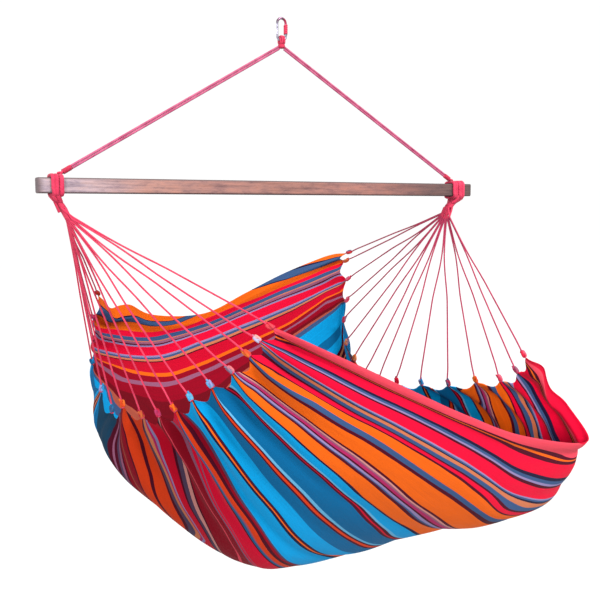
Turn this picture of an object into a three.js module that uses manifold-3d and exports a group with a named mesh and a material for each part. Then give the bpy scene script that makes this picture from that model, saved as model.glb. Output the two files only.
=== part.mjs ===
// Hammock chair: a striped cloth seat hung by two fans of cords from a wooden spreader bar,
// which hangs by two doubled rope legs from a steel snap link.
// Millimetres, +Z up. The origin is the point of the link where a ceiling hook bears.
// The bar lies along X, the front of the seat faces -Y.

import * as THREE from 'three';
import { ConvexGeometry } from 'three/addons/geometries/ConvexGeometry.js';
import { mergeVertices } from 'three/addons/utils/BufferGeometryUtils.js';
import Module from 'manifold-3d';

const wasm = await Module();
wasm.setup();

// Clearances
const gap = 0.3;
const overrun = 1;

// Snap link
const linkRod = 7;
const linkHeight = 70;
const linkWidth = 34;
const gateDiameter = 6;
const gateLength = 31;
const gateTop = 12;
const tangThickness = 2.6;
const tangLength = 7;
const pinDiameter = 2.4;
const bindingDiameter = 12;
const bindingTop = 12;
const bindingLength = 31;

// Furthest swing of the chair on the link, in degrees each way
const foreAftSwing = 25;

// Spreader bar, and its depth below the hook point
const barDrop = 479;
const barLength = 1400;
const barHeight = 40;
const barDepth = 36;
const barEdge = 5;
const barBevel = 2;

// Suspension rope
const strandDiameter = 6;
const turnDiameter = 6.4;
const whippingDiameter = 21;
const whippingHeight = 12;
const neckHeight = 5;
const eyeThickness = 9.5;
const spliceDiameter = 15;
const spliceLength = 36;

// Where each rope eye sits on the bar, in from the bar's end, and how wide it and the fan loop are
const leftEyeInset = 58;
const rightEyeInset = 70;
const leftEyeWidth = 12.5;
const rightEyeWidth = 20;
const leftLoopWidth = 20;
const rightLoopWidth = 28;

// Fan loops on the bar
const loopThickness = 11;
const leftNeckWidth = 20;
const leftNeckDepth = 24;
const rightNeckWidth = 27;
const rightNeckDepth = 30;
const seizingLength = 15;
const ridge = 0.6;
const fanDepth = 70;
const leftLean = 26;
const rightLean = 41;
const tailDiameter = 6;
const tailLength = 47;
const tailLean = 16;
const tailForward = 6;

// Fan cords and the knots at their ends
const cordDiameter = 4.6;
const crownRadius = 24;
const knotLength = 24;
const knotDiameter = 16;
const pairsPerFan = 8;

// Seat cloth: half its length along the bar, half its depth, and its drop below the bar
const seatHalfLength = barLength / 2;
const seatHalfDepth = 550;
const seatDrop = 1110;
const clothThickness = 0.8;
const hemThickness = 3;
const tuftInset = 20;
const scallopInset = 40;
const pleatDepth = 11;
const creaseDepth = 9;
const pullReach = 110;
const pullStrength = 0.75;

const steel = { color: 0xc4c8cc, roughness: 0.28, metalness: 1 };
const wood = { color: 0x8f6a5c, roughness: 0.55, metalness: 0 };
const rope = { color: 0xe0486a, roughness: 0.85, metalness: 0 };
const cotton = { color: 0xe8432c, roughness: 0.9, metalness: 0 };

// Geometry helpers

function toSolid(geometry) {
  const bare = geometry.clone();
  for (const name of ['normal', 'uv']) bare.deleteAttribute(name);
  const merged = mergeVertices(bare, gap / 1000);
  const vertProperties = new Float32Array(merged.attributes.position.array);
  const kept = [];
  const index = merged.index.array;
  for (let i = 0; i < index.length; i += 3) {
    const [a, b, c] = [index[i], index[i + 1], index[i + 2]];
    if (a !== b && b !== c && c !== a) kept.push(a, b, c);
  }
  return new wasm.Manifold(new wasm.Mesh({ numProp: 3, vertProperties, triVerts: new Uint32Array(kept) }));
}

function toGeometry(solid) {
  const mesh = solid.getMesh();
  const geometry = new THREE.BufferGeometry();
  geometry.setAttribute('position', new THREE.BufferAttribute(new Float32Array(mesh.vertProperties), 3));
  geometry.setIndex(new THREE.BufferAttribute(new Uint32Array(mesh.triVerts), 1));
  geometry.computeVertexNormals();
  return geometry;
}

function joined(...geometries) {
  return geometries.map(toSolid).reduce((sum, next) => sum.add(next));
}

function namedMesh(name, solid, finish) {
  const mesh = new THREE.Mesh(toGeometry(solid), new THREE.MeshStandardMaterial(finish));
  mesh.name = name;
  return mesh;
}

function circle(radius, sides) {
  const shape = new THREE.Shape();
  for (let i = 0; i < sides; i++) {
    const angle = (2 * Math.PI * i) / sides;
    const [x, y] = [radius * Math.cos(angle), radius * Math.sin(angle)];
    if (i === 0) shape.moveTo(x, y);
    else shape.lineTo(x, y);
  }
  return shape;
}

function tube(curve, diameter, steps, sides = 8) {
  return new THREE.ExtrudeGeometry(circle(diameter / 2, sides), { steps, extrudePath: curve });
}

function straightTube(from, to, diameter, steps = 1, sides = 8) {
  return tube(new THREE.LineCurve3(from, to), diameter, steps, sides);
}

function lathe(profile, sides) {
  return new THREE.LatheGeometry(profile.map(([r, h]) => new THREE.Vector2(r, h)), sides);
}

// A lathe stands along +Y; this turns it to stand along a direction at a place.
function standing(geometry, place, direction) {
  const turn = new THREE.Quaternion().setFromUnitVectors(new THREE.Vector3(0, 1, 0), direction);
  return geometry.applyQuaternion(turn).translate(place.x, place.y, place.z);
}

// Skin over rings of equal count, with both ends closed by fans.
function loft(rings) {
  const count = rings[0].length;
  const middle = (ring) => ring.reduce((sum, p) => sum.add(p), new THREE.Vector3()).divideScalar(count);
  const points = [...rings.flat(), middle(rings[0]), middle(rings[rings.length - 1])];
  const [first, last] = [points.length - 2, points.length - 1];
  const triangles = [];
  for (let r = 0; r + 1 < rings.length; r++) {
    for (let i = 0; i < count; i++) {
      const [a, b] = [r * count + i, r * count + ((i + 1) % count)];
      triangles.push(a, b, b + count, a, b + count, a + count);
    }
  }
  const end = (rings.length - 1) * count;
  for (let i = 0; i < count; i++) {
    const next = (i + 1) % count;
    triangles.push(first, next, i, last, end + i, end + next);
  }
  const geometry = new THREE.BufferGeometry().setFromPoints(points);
  geometry.setIndex(triangles);
  return geometry;
}

function ovalRing(centre, halfX, halfY, sides) {
  return Array.from({ length: sides }, (_, i) => {
    const angle = (-2 * Math.PI * i) / sides;
    return new THREE.Vector3(centre.x + halfX * Math.cos(angle), centre.y + halfY * Math.sin(angle), centre.z);
  });
}

function roundedRect(width, height, radius) {
  const [w, h, r] = [width / 2, height / 2, radius];
  const shape = new THREE.Shape();
  shape.moveTo(-w + r, -h);
  shape.lineTo(w - r, -h);
  shape.absarc(w - r, -h + r, r, -Math.PI / 2, 0);
  shape.lineTo(w, h - r);
  shape.absarc(w - r, h - r, r, 0, Math.PI / 2);
  shape.lineTo(-w + r, h);
  shape.absarc(-w + r, h - r, r, Math.PI / 2, Math.PI);
  shape.lineTo(-w, -h + r);
  shape.absarc(-w + r, -h + r, r, Math.PI, 1.5 * Math.PI);
  return shape;
}

// An extrusion of a section drawn as (Y, Z) that runs along X, centred on x.
function alongX(shape, length, x, bevel, curveSegments = 3) {
  const core = length - 2 * bevel;
  const geometry = new THREE.ExtrudeGeometry(shape, {
    depth: core, steps: 1, curveSegments, bevelEnabled: bevel > 0,
    bevelThickness: bevel, bevelSize: bevel, bevelOffset: -bevel, bevelSegments: 1,
  });
  const toX = new THREE.Matrix4().set(0, 0, 1, x - core / 2, 1, 0, 0, 0, 0, 1, 0, 0, 0, 0, 0, 1);
  return geometry.applyMatrix4(toX);
}

// Snap link: an open oval of rod, a sprung gate in its left limb, and the gate's pin

const rodRadius = linkRod / 2;
const limbX = linkWidth / 2 - rodRadius;
const bowTop = rodRadius;
const bowBottom = linkRod - linkHeight + rodRadius;
const gateFoot = -gateTop - gateLength;

function linkCurve() {
  const points = [];
  const arc = (centreZ, from, to, steps) => {
    for (let i = 0; i <= steps; i++) {
      const angle = from + ((to - from) * i) / steps;
      points.push(new THREE.Vector3(limbX * Math.cos(angle), 0, centreZ + limbX * Math.sin(angle)));
    }
  };
  const low = bowBottom + limbX;
  const high = bowTop - limbX;
  points.push(new THREE.Vector3(-limbX, 0, gateFoot - gap));
  arc(low, Math.PI, 2 * Math.PI, 8);
  arc(high, 0, Math.PI, 8);
  points.push(new THREE.Vector3(-limbX, 0, -gateTop + gap));
  return new THREE.CatmullRomCurve3(points, false, 'centripetal');
}

const hinge = new THREE.Vector3(-limbX, 0, gateFoot + tangLength / 2);

function linkBody() {
  const rod = tube(linkCurve(), linkRod, 44, 10);
  const tang = new THREE.BoxGeometry(linkRod - 2 * overrun, tangThickness, tangLength + 2 * overrun);
  tang.translate(hinge.x, 0, gateFoot + tangLength / 2 - overrun);
  const drill = new THREE.CylinderGeometry(pinDiameter / 2 + gap, pinDiameter / 2 + gap, linkRod, 10);
  drill.translate(hinge.x, hinge.y, hinge.z);
  return namedMesh('link_body', joined(rod, tang).subtract(toSolid(drill)), steel);
}

function linkGate() {
  const r = gateDiameter / 2;
  const profile = [[0, gateFoot], [r * 0.45, gateFoot], [r, gateFoot + r * 0.45],
    [r, -gateTop - overrun], [r - ridge, -gateTop], [0, -gateTop]];
  const body = standing(lathe(profile, 12), new THREE.Vector3(-limbX, 0, 0), new THREE.Vector3(0, 0, 1));
  const slotHeight = tangLength + overrun + gap;
  const slot = new THREE.BoxGeometry(linkRod, tangThickness + 2 * gap, slotHeight + overrun);
  slot.translate(-limbX, 0, gateFoot + slotHeight / 2 - overrun / 2);
  const drill = new THREE.CylinderGeometry(pinDiameter / 2 + gap, pinDiameter / 2 + gap, linkRod, 10);
  drill.translate(hinge.x, hinge.y, hinge.z);
  return namedMesh('link_gate', toSolid(body).subtract(toSolid(slot)).subtract(toSolid(drill)), steel);
}

function gatePin() {
  const pin = new THREE.CylinderGeometry(pinDiameter / 2, pinDiameter / 2, gateDiameter, 10);
  pin.translate(hinge.x, hinge.y, hinge.z);
  return namedMesh('gate_pin', toSolid(pin), steel);
}

// Rope bound round the link's right limb
function linkBinding() {
  const r = bindingDiameter / 2;
  const turns = 6;
  const profile = [[0, 0]];
  for (let i = 0; i <= 2 * turns; i++) profile.push([i % 2 ? r : r - ridge, (bindingLength * i) / (2 * turns)]);
  profile.push([0, bindingLength]);
  const foot = new THREE.Vector3(limbX, 0, -bindingTop - bindingLength);
  const upward = new THREE.Vector3(0, 0, 1);
  const sleeve = standing(lathe(profile, 12), foot, upward);
  const [bore, under, over] = [rodRadius + 2 * gap, -overrun, bindingLength + overrun];
  const limb = standing(lathe([[0, under], [bore, under], [bore, over], [0, over]], 12), foot, upward);
  return namedMesh('link_binding', toSolid(sleeve).subtract(toSolid(limb)), rope);
}

// Rope eye: turns of rope over the link's lower bow, in two layers, run into a short neck

const turnRadius = turnDiameter / 2;
const innerTurn = rodRadius + gap + turnRadius;
const outerTurn = innerTurn + turnDiameter * 0.87;
const neckTop = bowBottom - rodRadius - gap;
const neckFoot = neckTop - neckHeight;

function hairpin(x, radius) {
  const points = [new THREE.Vector3(x, radius * 0.7, neckFoot + overrun)];
  const steps = 6;
  for (let i = 0; i <= steps; i++) {
    const angle = (Math.PI * i) / steps;
    points.push(new THREE.Vector3(x, radius * Math.cos(angle), bowBottom + radius * Math.sin(angle)));
  }
  points.push(new THREE.Vector3(x, -radius * 0.7, neckFoot + overrun));
  return tube(new THREE.CatmullRomCurve3(points, false, 'centripetal'), turnDiameter, 10, 7);
}

// The lower bow with its running clearance, as it sweeps through the eye when the chair swings
function bowSweep() {
  const points = [];
  const steps = 8;
  for (let i = 0; i <= steps; i++) {
    const angle = Math.PI + (Math.PI * i) / steps;
    points.push(new THREE.Vector3(limbX * Math.cos(angle), 0, limbX * (1 + Math.sin(angle))));
  }
  const bow = new THREE.CatmullRomCurve3(points, false, 'centripetal');
  return [-1, -0.5, 0, 0.5, 1].map((share) => {
    const turned = tube(bow, linkRod + 2 * gap, 10, 10).rotateX(share * foreAftSwing * (Math.PI / 180));
    return toSolid(turned.translate(0, 0, bowBottom));
  }).reduce((sum, next) => sum.add(next));
}

function topEye() {
  const pitch = turnDiameter * 0.94;
  const inner = [-pitch, 0, pitch].map((x) => hairpin(x, innerTurn));
  const outer = [-pitch / 2, pitch / 2].map((x) => hairpin(x, outerTurn));
  const wide = whippingDiameter / 2;
  const neck = loft([[neckTop - overrun, wide - 2 * ridge], [neckFoot, wide - ridge]].map(([z, half]) =>
    ovalRing(new THREE.Vector3(0, 0, z), half, half, 14)));
  return namedMesh('top_rope_eye', joined(neck, ...inner, ...outer).subtract(bowSweep()), rope);
}

const whippingTop = neckFoot - gap;

// A bound ball with its ends cut off, ringed once for each turn of the binding.
// The rope legs swing round its middle.
function topWhipping() {
  const radius = whippingDiameter / 2;
  const turns = 4;
  const profile = [[0, 0]];
  for (let i = 0; i <= 2 * turns; i++) {
    const height = (whippingHeight * i) / (2 * turns);
    const round = Math.sqrt(radius ** 2 - (height - whippingHeight / 2) ** 2);
    profile.push([round - (i % 2 ? 0 : ridge), height]);
  }
  profile.push([0, whippingHeight]);
  const barrel = lathe(profile, 14);
  const foot = new THREE.Vector3(0, 0, whippingTop - whippingHeight);
  return namedMesh('top_whipping', toSolid(standing(barrel, foot, new THREE.Vector3(0, 0, 1))), rope);
}

// Rope legs, from the whipping to the spliced eyes on the bar

const sides = {
  left: { side: -1, eyeInset: leftEyeInset, eyeWidth: leftEyeWidth, loopWidth: leftLoopWidth,
    neckWidth: leftNeckWidth, neckDepth: leftNeckDepth, lean: leftLean, tail: true },
  right: { side: 1, eyeInset: rightEyeInset, eyeWidth: rightEyeWidth, loopWidth: rightLoopWidth,
    neckWidth: rightNeckWidth, neckDepth: rightNeckDepth, lean: rightLean, tail: false },
};
const eyeTop = -barDrop + barHeight / 2 + gap + eyeThickness;
const legTop = whippingTop - whippingHeight / 2;

function eyeFromMiddle(fan) {
  return barLength / 2 - fan.eyeInset;
}

function legDirection(fan) {
  return new THREE.Vector3(-fan.side * eyeFromMiddle(fan), 0, legTop - eyeTop).normalize();
}

function spliceEnd(fan) {
  const root = new THREE.Vector3(fan.side * eyeFromMiddle(fan), 0, eyeTop);
  return root.addScaledVector(legDirection(fan), spliceLength);
}

// The two strands of a leg lie one above the other, each set off from the leg's middle line
function legStrand(fan, name, offset) {
  const direction = legDirection(fan);
  const upward = new THREE.Vector3(fan.side * direction.z, 0, -fan.side * direction.x);
  const start = new THREE.Vector3(0, 0, legTop).addScaledVector(direction, -whippingDiameter / 2 - gap);
  const end = spliceEnd(fan).addScaledVector(direction, gap);
  const place = (at) => at.addScaledVector(upward, offset);
  return namedMesh(name, toSolid(straightTube(place(start), place(end), strandDiameter, 6)), rope);
}

// A closed band round the bar, rounded on its outside
function band(x, width, thickness) {
  const outer = roundedRect(barDepth + 2 * (gap + thickness), barHeight + 2 * (gap + thickness),
    barEdge + gap + thickness);
  const inner = roundedRect(barDepth + 2 * gap, barHeight + 2 * gap, barEdge + gap);
  const bevel = thickness * 0.3;
  const solid = toSolid(alongX(outer, width, x, bevel, 4));
  return solid.subtract(toSolid(alongX(inner, width + 2 * overrun, x, 0)));
}

function barEye(fan, name) {
  const x = fan.side * eyeFromMiddle(fan);
  const root = new THREE.Vector3(x, 0, eyeTop).addScaledVector(legDirection(fan), -eyeThickness / 2);
  const splice = toSolid(straightTube(root, spliceEnd(fan), spliceDiameter, 1, 10));
  const ring = band(x, fan.eyeWidth, eyeThickness).translate([0, 0, -barDrop]);
  const bore = toSolid(alongX(roundedRect(barDepth + 2 * gap, barHeight + 2 * gap, barEdge + gap),
    4 * fan.eyeWidth, x, 0)).translate([0, 0, -barDrop]);
  return namedMesh(name, ring.add(splice.subtract(bore)), rope);
}

// Spreader bar

function spreaderBar() {
  const section = roundedRect(barDepth, barHeight, barEdge);
  return namedMesh('spreader_bar', toSolid(alongX(section, barLength, 0, barBevel, 4)), wood);
}

// Everything from here on is placed from the middle of the bar

function loopFromMiddle(fan) {
  return eyeFromMiddle(fan) + fan.eyeWidth / 2 + gap + fan.loopWidth / 2;
}

function fanCentre(fan) {
  return new THREE.Vector3(fan.side * (loopFromMiddle(fan) - fan.lean), 0, -fanDepth);
}

// A place on the neck's middle line, from the bar (0) to the fan's centre (1)
function neckMiddle(fan, share) {
  const x = fan.side * loopFromMiddle(fan);
  return new THREE.Vector3(x + (fanCentre(fan).x - x) * share, 0, 0);
}

const crownTop = fanDepth - crownRadius / 2;
const neckSwing = 0.52;
const seizingSwing = 0.88;

// The loop over the bar, its neck below and, on one side, the rope's cut tail beside the neck
function fanLoop(fan, name) {
  const top = barHeight / 2 + gap + ridge;
  const foot = crownTop - seizingLength - gap;
  const rings = [0, 0.5, 1].map((share) => {
    const at = neckMiddle(fan, neckSwing * share);
    at.z = -(top + (foot - top) * share);
    const halfX = fan.loopWidth / 2 - ridge + (fan.neckWidth / 2 - fan.loopWidth / 2) * share;
    const halfY = barDepth / 2 + (fan.neckDepth / 2 - barDepth / 2) * share;
    return ovalRing(at, halfX, halfY, 14);
  });
  const eyeHeight = barHeight + 2 * (eyeThickness + 2 * gap);
  const nextBand = new THREE.BoxGeometry(fan.eyeWidth + 2 * gap, 2 * barDepth, eyeHeight);
  nextBand.translate(fan.side * eyeFromMiddle(fan), 0, 0);
  const neck = toSolid(loft(rings)).subtract(toSolid(nextBand));
  const loop = band(fan.side * loopFromMiddle(fan), fan.loopWidth, loopThickness).add(neck);
  if (!fan.tail) return namedMesh(name, loop, rope);
  const outside = fan.side * (loopFromMiddle(fan) + fan.loopWidth / 2 - tailDiameter / 2);
  const tailTop = new THREE.Vector3(outside, -tailForward, -barHeight / 2 - 2 * ridge);
  const tailFoot = tailTop.clone().add(new THREE.Vector3(-fan.side * tailLean, 0, -tailLength));
  return namedMesh(name, loop.add(toSolid(straightTube(tailTop, tailFoot, tailDiameter))), rope);
}

// The binding that gathers the cords under the loop
function fanSeizing(fan, name) {
  const turns = 5;
  const rings = [];
  for (let i = 0; i <= 2 * turns; i++) {
    const share = i / (2 * turns);
    const middle = neckMiddle(fan, neckSwing + (seizingSwing - neckSwing) * share);
    middle.z = -crownTop + seizingLength * (1 - share);
    const swell = i % 2 ? ridge : 0;
    rings.push(ovalRing(middle, fan.neckWidth / 2 + swell, fan.neckDepth / 2 + swell, 14));
  }
  return namedMesh(name, toSolid(loft(rings)), rope);
}

// Knot places, front to back, as shares of the seat's half length, half depth and drop

const leftKnotShares = [
  [-0.343, -0.69, 0.306], [-0.393, -0.69, 0.332], [-0.43, -0.682, 0.362], [-0.476, -0.636, 0.399],
  [-0.517, -0.536, 0.437], [-0.564, -0.436, 0.473], [-0.6, -0.345, 0.505], [-0.633, -0.245, 0.525],
  [-0.661, -0.11, 0.541], [-0.689, 0.073, 0.532], [-0.7, 0.2, 0.559], [-0.7, 0.39, 0.523],
  [-0.694, 0.6, 0.468], [-0.661, 0.718, 0.419], [-0.65, 0.764, 0.36], [-0.621, 0.8, 0.293]];

const rightKnotShares = [
  [0.843, -0.71, 0.432], [0.886, -0.6, 0.486], [0.886, -0.473, 0.52], [0.836, -0.345, 0.532],
  [0.786, -0.18, 0.554], [0.714, -0.045, 0.56], [0.661, 0.11, 0.568], [0.614, 0.2, 0.566],
  [0.574, 0.282, 0.551], [0.571, 0.4, 0.515], [0.6, 0.555, 0.477], [0.664, 0.71, 0.416],
  [0.743, 0.836, 0.36], [0.779, 0.89, 0.293], [0.783, 0.927, 0.232], [0.807, 0.936, 0.205]];

// Lines that run along the stripes from the left knots to the right ones.
// "line" counts knots from the front; the shares are seven places between the knots.
const stripeLines = [
  { line: 1, shares: [[-0.2, -0.764, 0.351], [-0.014, -0.818, 0.409], [0.2, -0.845, 0.477],
    [0.45, -0.855, 0.553], [0.76, -0.845, 0.633], [1.195, -0.764, 0.695], [1.147, -0.664, 0.6]] },
  { line: 3, shares: [[-0.28, -0.745, 0.451], [-0.067, -0.782, 0.549], [0.16, -0.8, 0.633],
    [0.434, -0.782, 0.745], [0.76, -0.71, 0.865], [1.13, -0.6, 0.865], [1.14, -0.49, 0.685]] },
  { line: 5.5, shares: [[-0.444, -0.59, 0.569], [-0.277, -0.573, 0.706], [-0.041, -0.5, 0.846],
    [0.286, -0.364, 0.952], [0.6, -0.29, 0.95], [0.93, -0.227, 0.865], [1, -0.164, 0.712]] },
  { line: 8.5, shares: [[-0.556, -0.236, 0.649], [-0.439, -0.255, 0.8], [-0.223, -0.218, 0.97],
    [0.071, -0.09, 0.99], [0.386, 0, 0.946], [0.686, 0.073, 0.865], [0.8, 0.164, 0.712]] },
  { line: 11.5, shares: [[-0.75, 0.24, 0.636], [-0.649, 0.182, 0.724], [-0.357, 0.236, 0.838],
    [-0.071, 0.31, 0.865], [0.214, 0.4, 0.838], [0.486, 0.51, 0.739], [0.643, 0.582, 0.613]] },
  { line: 14, shares: [[-0.59, 0.836, 0.47], [-0.313, 0.89, 0.509], [-0.087, 0.909, 0.482],
    [0.139, 0.927, 0.439], [0.359, 0.927, 0.395], [0.54, 0.927, 0.359], [0.693, 0.909, 0.322]] },
  { line: 16, shares: [[-0.514, 0.89, 0.333], [-0.289, 0.964, 0.382], [-0.031, 0.99, 0.387],
    [0.196, 1, 0.331], [0.401, 1, 0.277], [0.58, 0.99, 0.237], [0.724, 0.964, 0.208]] },
];

function seatPlace([x, y, z]) {
  return new THREE.Vector3(x * seatHalfLength, y * seatHalfDepth, -z * seatDrop);
}

const knotCurves = [leftKnotShares, rightKnotShares].map((shares) =>
  new THREE.CatmullRomCurve3(shares.map(seatPlace), false, 'catmullrom', 0.5));
const knotCount = leftKnotShares.length;
const lastLine = knotCount;

function knotPlace(end, line) {
  return knotCurves[end].getPoint((line - 1) / (lastLine - 1));
}

const stripeCurves = stripeLines.map(({ line, shares }) => {
  const points = [knotPlace(0, line), ...shares.map(seatPlace), knotPlace(1, line)];
  return { line, curve: new THREE.CatmullRomCurve3(points, false, 'catmullrom', 0.5) };
});

// Cubic through the stripe lines at one place along them, with spans of unequal width
function acrossStripes(points, line) {
  const at = stripeCurves.map((stripe) => stripe.line);
  const spans = at.slice(1).map((next, i) => next - at[i]);
  const slopes = spans.map((span, i) => points[i + 1].clone().sub(points[i]).divideScalar(span));
  const tangents = points.map((_, i) => {
    if (i === 0) return slopes[0].clone();
    if (i === points.length - 1) return slopes[i - 1].clone();
    const total = spans[i - 1] + spans[i];
    return slopes[i - 1].clone().multiplyScalar(spans[i] / total).addScaledVector(slopes[i], spans[i - 1] / total);
  });
  let i = 0;
  while (i < spans.length - 1 && line > at[i + 1]) i++;
  const t = (line - at[i]) / spans[i];
  return new THREE.Vector3()
    .addScaledVector(points[i], 2 * t ** 3 - 3 * t ** 2 + 1)
    .addScaledVector(tangents[i], (t ** 3 - 2 * t ** 2 + t) * spans[i])
    .addScaledVector(points[i + 1], 3 * t ** 2 - 2 * t ** 3)
    .addScaledVector(tangents[i + 1], (t ** 3 - t ** 2) * spans[i]);
}

// The seat through its stripe lines: "along" runs 0 to 1 from the left knots to the right ones
function drapedSeat(along, line) {
  const net = (share) => acrossStripes(stripeCurves.map(({ curve }) => curve.getPoint(share)), line);
  const place = net(along);
  const reach = 0.3;
  [0, 1].forEach((end) => {
    const near = Math.max(0, 1 - Math.abs(along - end) / reach) ** 2;
    if (near > 0) place.addScaledVector(knotPlace(end, line).sub(net(end)), near);
  });
  return place;
}

// How far the cloth runs at an end for a whole step of "along"
function endSpeed(end, line) {
  const step = 0.01;
  return drapedSeat(Math.abs(end - step), line).distanceTo(knotPlace(end, line)) / step;
}

const fanEnds = [sides.left, sides.right];

// The same seat with its ends drawn out straight toward the fan that holds them
function smoothSeat(along, line) {
  const place = drapedSeat(along, line);
  const end = along < 0.5 ? 0 : 1;
  const distance = Math.abs(along - end) * endSpeed(end, line);
  const near = Math.max(0, 1 - distance / pullReach) ** 2;
  if (near === 0) return place;
  const held = knotPlace(end, line);
  const way = held.clone().sub(fanCentre(fanEnds[end])).normalize();
  return place.lerp(held.addScaledVector(way, distance), pullStrength * near);
}

function seatNormal(along, line) {
  const step = 0.004;
  const ahead = smoothSeat(Math.min(1, along + step), line).sub(smoothSeat(Math.max(0, along - step), line));
  const aside = smoothSeat(along, Math.min(lastLine, line + step)).sub(smoothSeat(along, Math.max(1, line - step)));
  return ahead.cross(aside).normalize();
}

// Where the cloth starts at an end: nearest the knot on a knot's own line, furthest midway to the next
function clothStart(end, line) {
  const off = Math.abs(line - Math.round(line)) * 2;
  return (tuftInset + (scallopInset - tuftInset) * off) / endSpeed(end, line);
}

const creaseLines = [1.5, 4.5, 6.5];

function clothPlace(share, line) {
  const [start, stop] = [clothStart(0, line), 1 - clothStart(1, line)];
  const along = start + (stop - start) * share;
  const fromEnd = Math.min(share, 1 - share) / 0.06;
  const pleat = pleatDepth * fromEnd * Math.exp(1 - fromEnd) * Math.cos(2 * Math.PI * line);
  const crease = creaseLines.includes(line) ? creaseDepth * Math.sin(Math.PI * share) : 0;
  return smoothSeat(along, line).addScaledVector(seatNormal(along, line), -pleat + crease);
}

const clothRows = [0, 0.02, 0.05, 0.09, 0.14, 0.2, 0.27, 0.345, 0.42, 0.5,
  0.58, 0.655, 0.73, 0.8, 0.86, 0.91, 0.95, 0.98, 1];

function seatCloth() {
  const lines = Array.from({ length: 2 * lastLine - 1 }, (_, i) => 1 + i / 2);
  const middle = clothRows.map((share) => lines.map((line) => clothPlace(share, line)));
  const [rows, columns] = [clothRows.length, lines.length];
  const points = [];
  const triangles = [];
  for (const face of [1, -1]) {
    for (let r = 0; r < rows; r++) {
      for (let c = 0; c < columns; c++) {
        const before = middle[Math.max(0, r - 1)][c];
        const after = middle[Math.min(rows - 1, r + 1)][c];
        const left = middle[r][Math.max(0, c - 1)];
        const right = middle[r][Math.min(columns - 1, c + 1)];
        const normal = after.clone().sub(before).cross(right.clone().sub(left)).normalize();
        const hem = c === 0 || c === columns - 1 ? Math.sin(Math.PI * clothRows[r]) ** 0.2 : 0;
        const half = (clothThickness + (hemThickness - clothThickness) * hem) / 2;
        points.push(middle[r][c].clone().addScaledVector(normal, face * half));
      }
    }
  }
  const at = (face, r, c) => face * rows * columns + r * columns + c;
  const quad = (a, b, c, d) => triangles.push(a, b, c, a, c, d);
  for (let r = 0; r + 1 < rows; r++) {
    for (let c = 0; c + 1 < columns; c++) {
      quad(at(0, r, c), at(0, r + 1, c), at(0, r + 1, c + 1), at(0, r, c + 1));
      quad(at(1, r, c), at(1, r, c + 1), at(1, r + 1, c + 1), at(1, r + 1, c));
    }
    quad(at(1, r, 0), at(1, r + 1, 0), at(0, r + 1, 0), at(0, r, 0));
    quad(at(0, r, columns - 1), at(0, r + 1, columns - 1), at(1, r + 1, columns - 1), at(1, r, columns - 1));
  }
  for (let c = 0; c + 1 < columns; c++) {
    quad(at(1, 0, c + 1), at(1, 0, c), at(0, 0, c), at(0, 0, c + 1));
    quad(at(0, rows - 1, c), at(1, rows - 1, c), at(1, rows - 1, c + 1), at(0, rows - 1, c + 1));
  }
  const geometry = new THREE.BufferGeometry().setFromPoints(points);
  geometry.setIndex(triangles);
  return namedMesh('seat_cloth', toSolid(geometry), cotton);
}

// Fan cords: each is doubled in the loop, and its two legs end in knots at neighbouring tufts

function knotFrame(end, line) {
  const tip = smoothSeat(Math.abs(end - clothStart(end, line)), line);
  const axis = knotPlace(end, line).sub(tip).normalize();
  const foot = tip.clone().addScaledVector(axis, overrun);
  return { axis, foot, entry: foot.clone().addScaledVector(axis, knotLength - knotDiameter / 3) };
}

function knot({ foot, axis }) {
  const r = knotDiameter / 2;
  const profile = [[0, 0], [0.4, 0.03], [0.95, 0.24], [0.78, 0.48], [1, 0.72], [0.55, 0.94], [0, 1]]
    .map(([width, height]) => [width * r, height * knotLength]);
  return standing(lathe(profile, 7), foot, axis);
}

// Middle of the two knots that a pair of legs ends in
function pairEnds(end, pair) {
  return [2 * pair + 1, 2 * pair + 2].map((line) => knotFrame(end, line).entry);
}

function pairMiddle(end, pair) {
  const [one, other] = pairEnds(end, pair);
  return one.clone().add(other).divideScalar(2);
}

// The cords leave the crown evenly spaced on an arc from the first one's way to the last one's
function cordStart(fan, end, pair) {
  const centre = fanCentre(fan);
  const last = pairsPerFan - 1;
  const ways = [0, last / 2, last].map((at) => {
    const target = pairMiddle(end, Math.floor(at)).add(pairMiddle(end, Math.ceil(at))).divideScalar(2);
    return target.sub(centre).normalize();
  });
  const way = new THREE.CatmullRomCurve3(ways).getPointAt(pair / last).normalize();
  const place = centre.addScaledVector(way, crownRadius);
  return { place, direction: pairMiddle(end, pair).sub(place).normalize() };
}

function fanCord(fan, end, pair, name) {
  const { place, direction } = cordStart(fan, end, pair);
  const length = pairMiddle(end, pair).distanceTo(place);
  const splitShare = 0.22;
  const start = place.clone().addScaledVector(direction, overrun);
  const split = place.clone().addScaledVector(direction, length * splitShare);
  const merge = split.clone().addScaledVector(direction, -cordDiameter);
  const shared = straightTube(start, split, cordDiameter, 2);
  const legs = pairEnds(end, pair).map((entry) => straightTube(merge, entry, cordDiameter, 3));
  const knots = [2 * pair + 1, 2 * pair + 2].map((line) => knot(knotFrame(end, line)));
  return namedMesh(name, joined(shared, ...legs, ...knots), rope);
}

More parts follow.
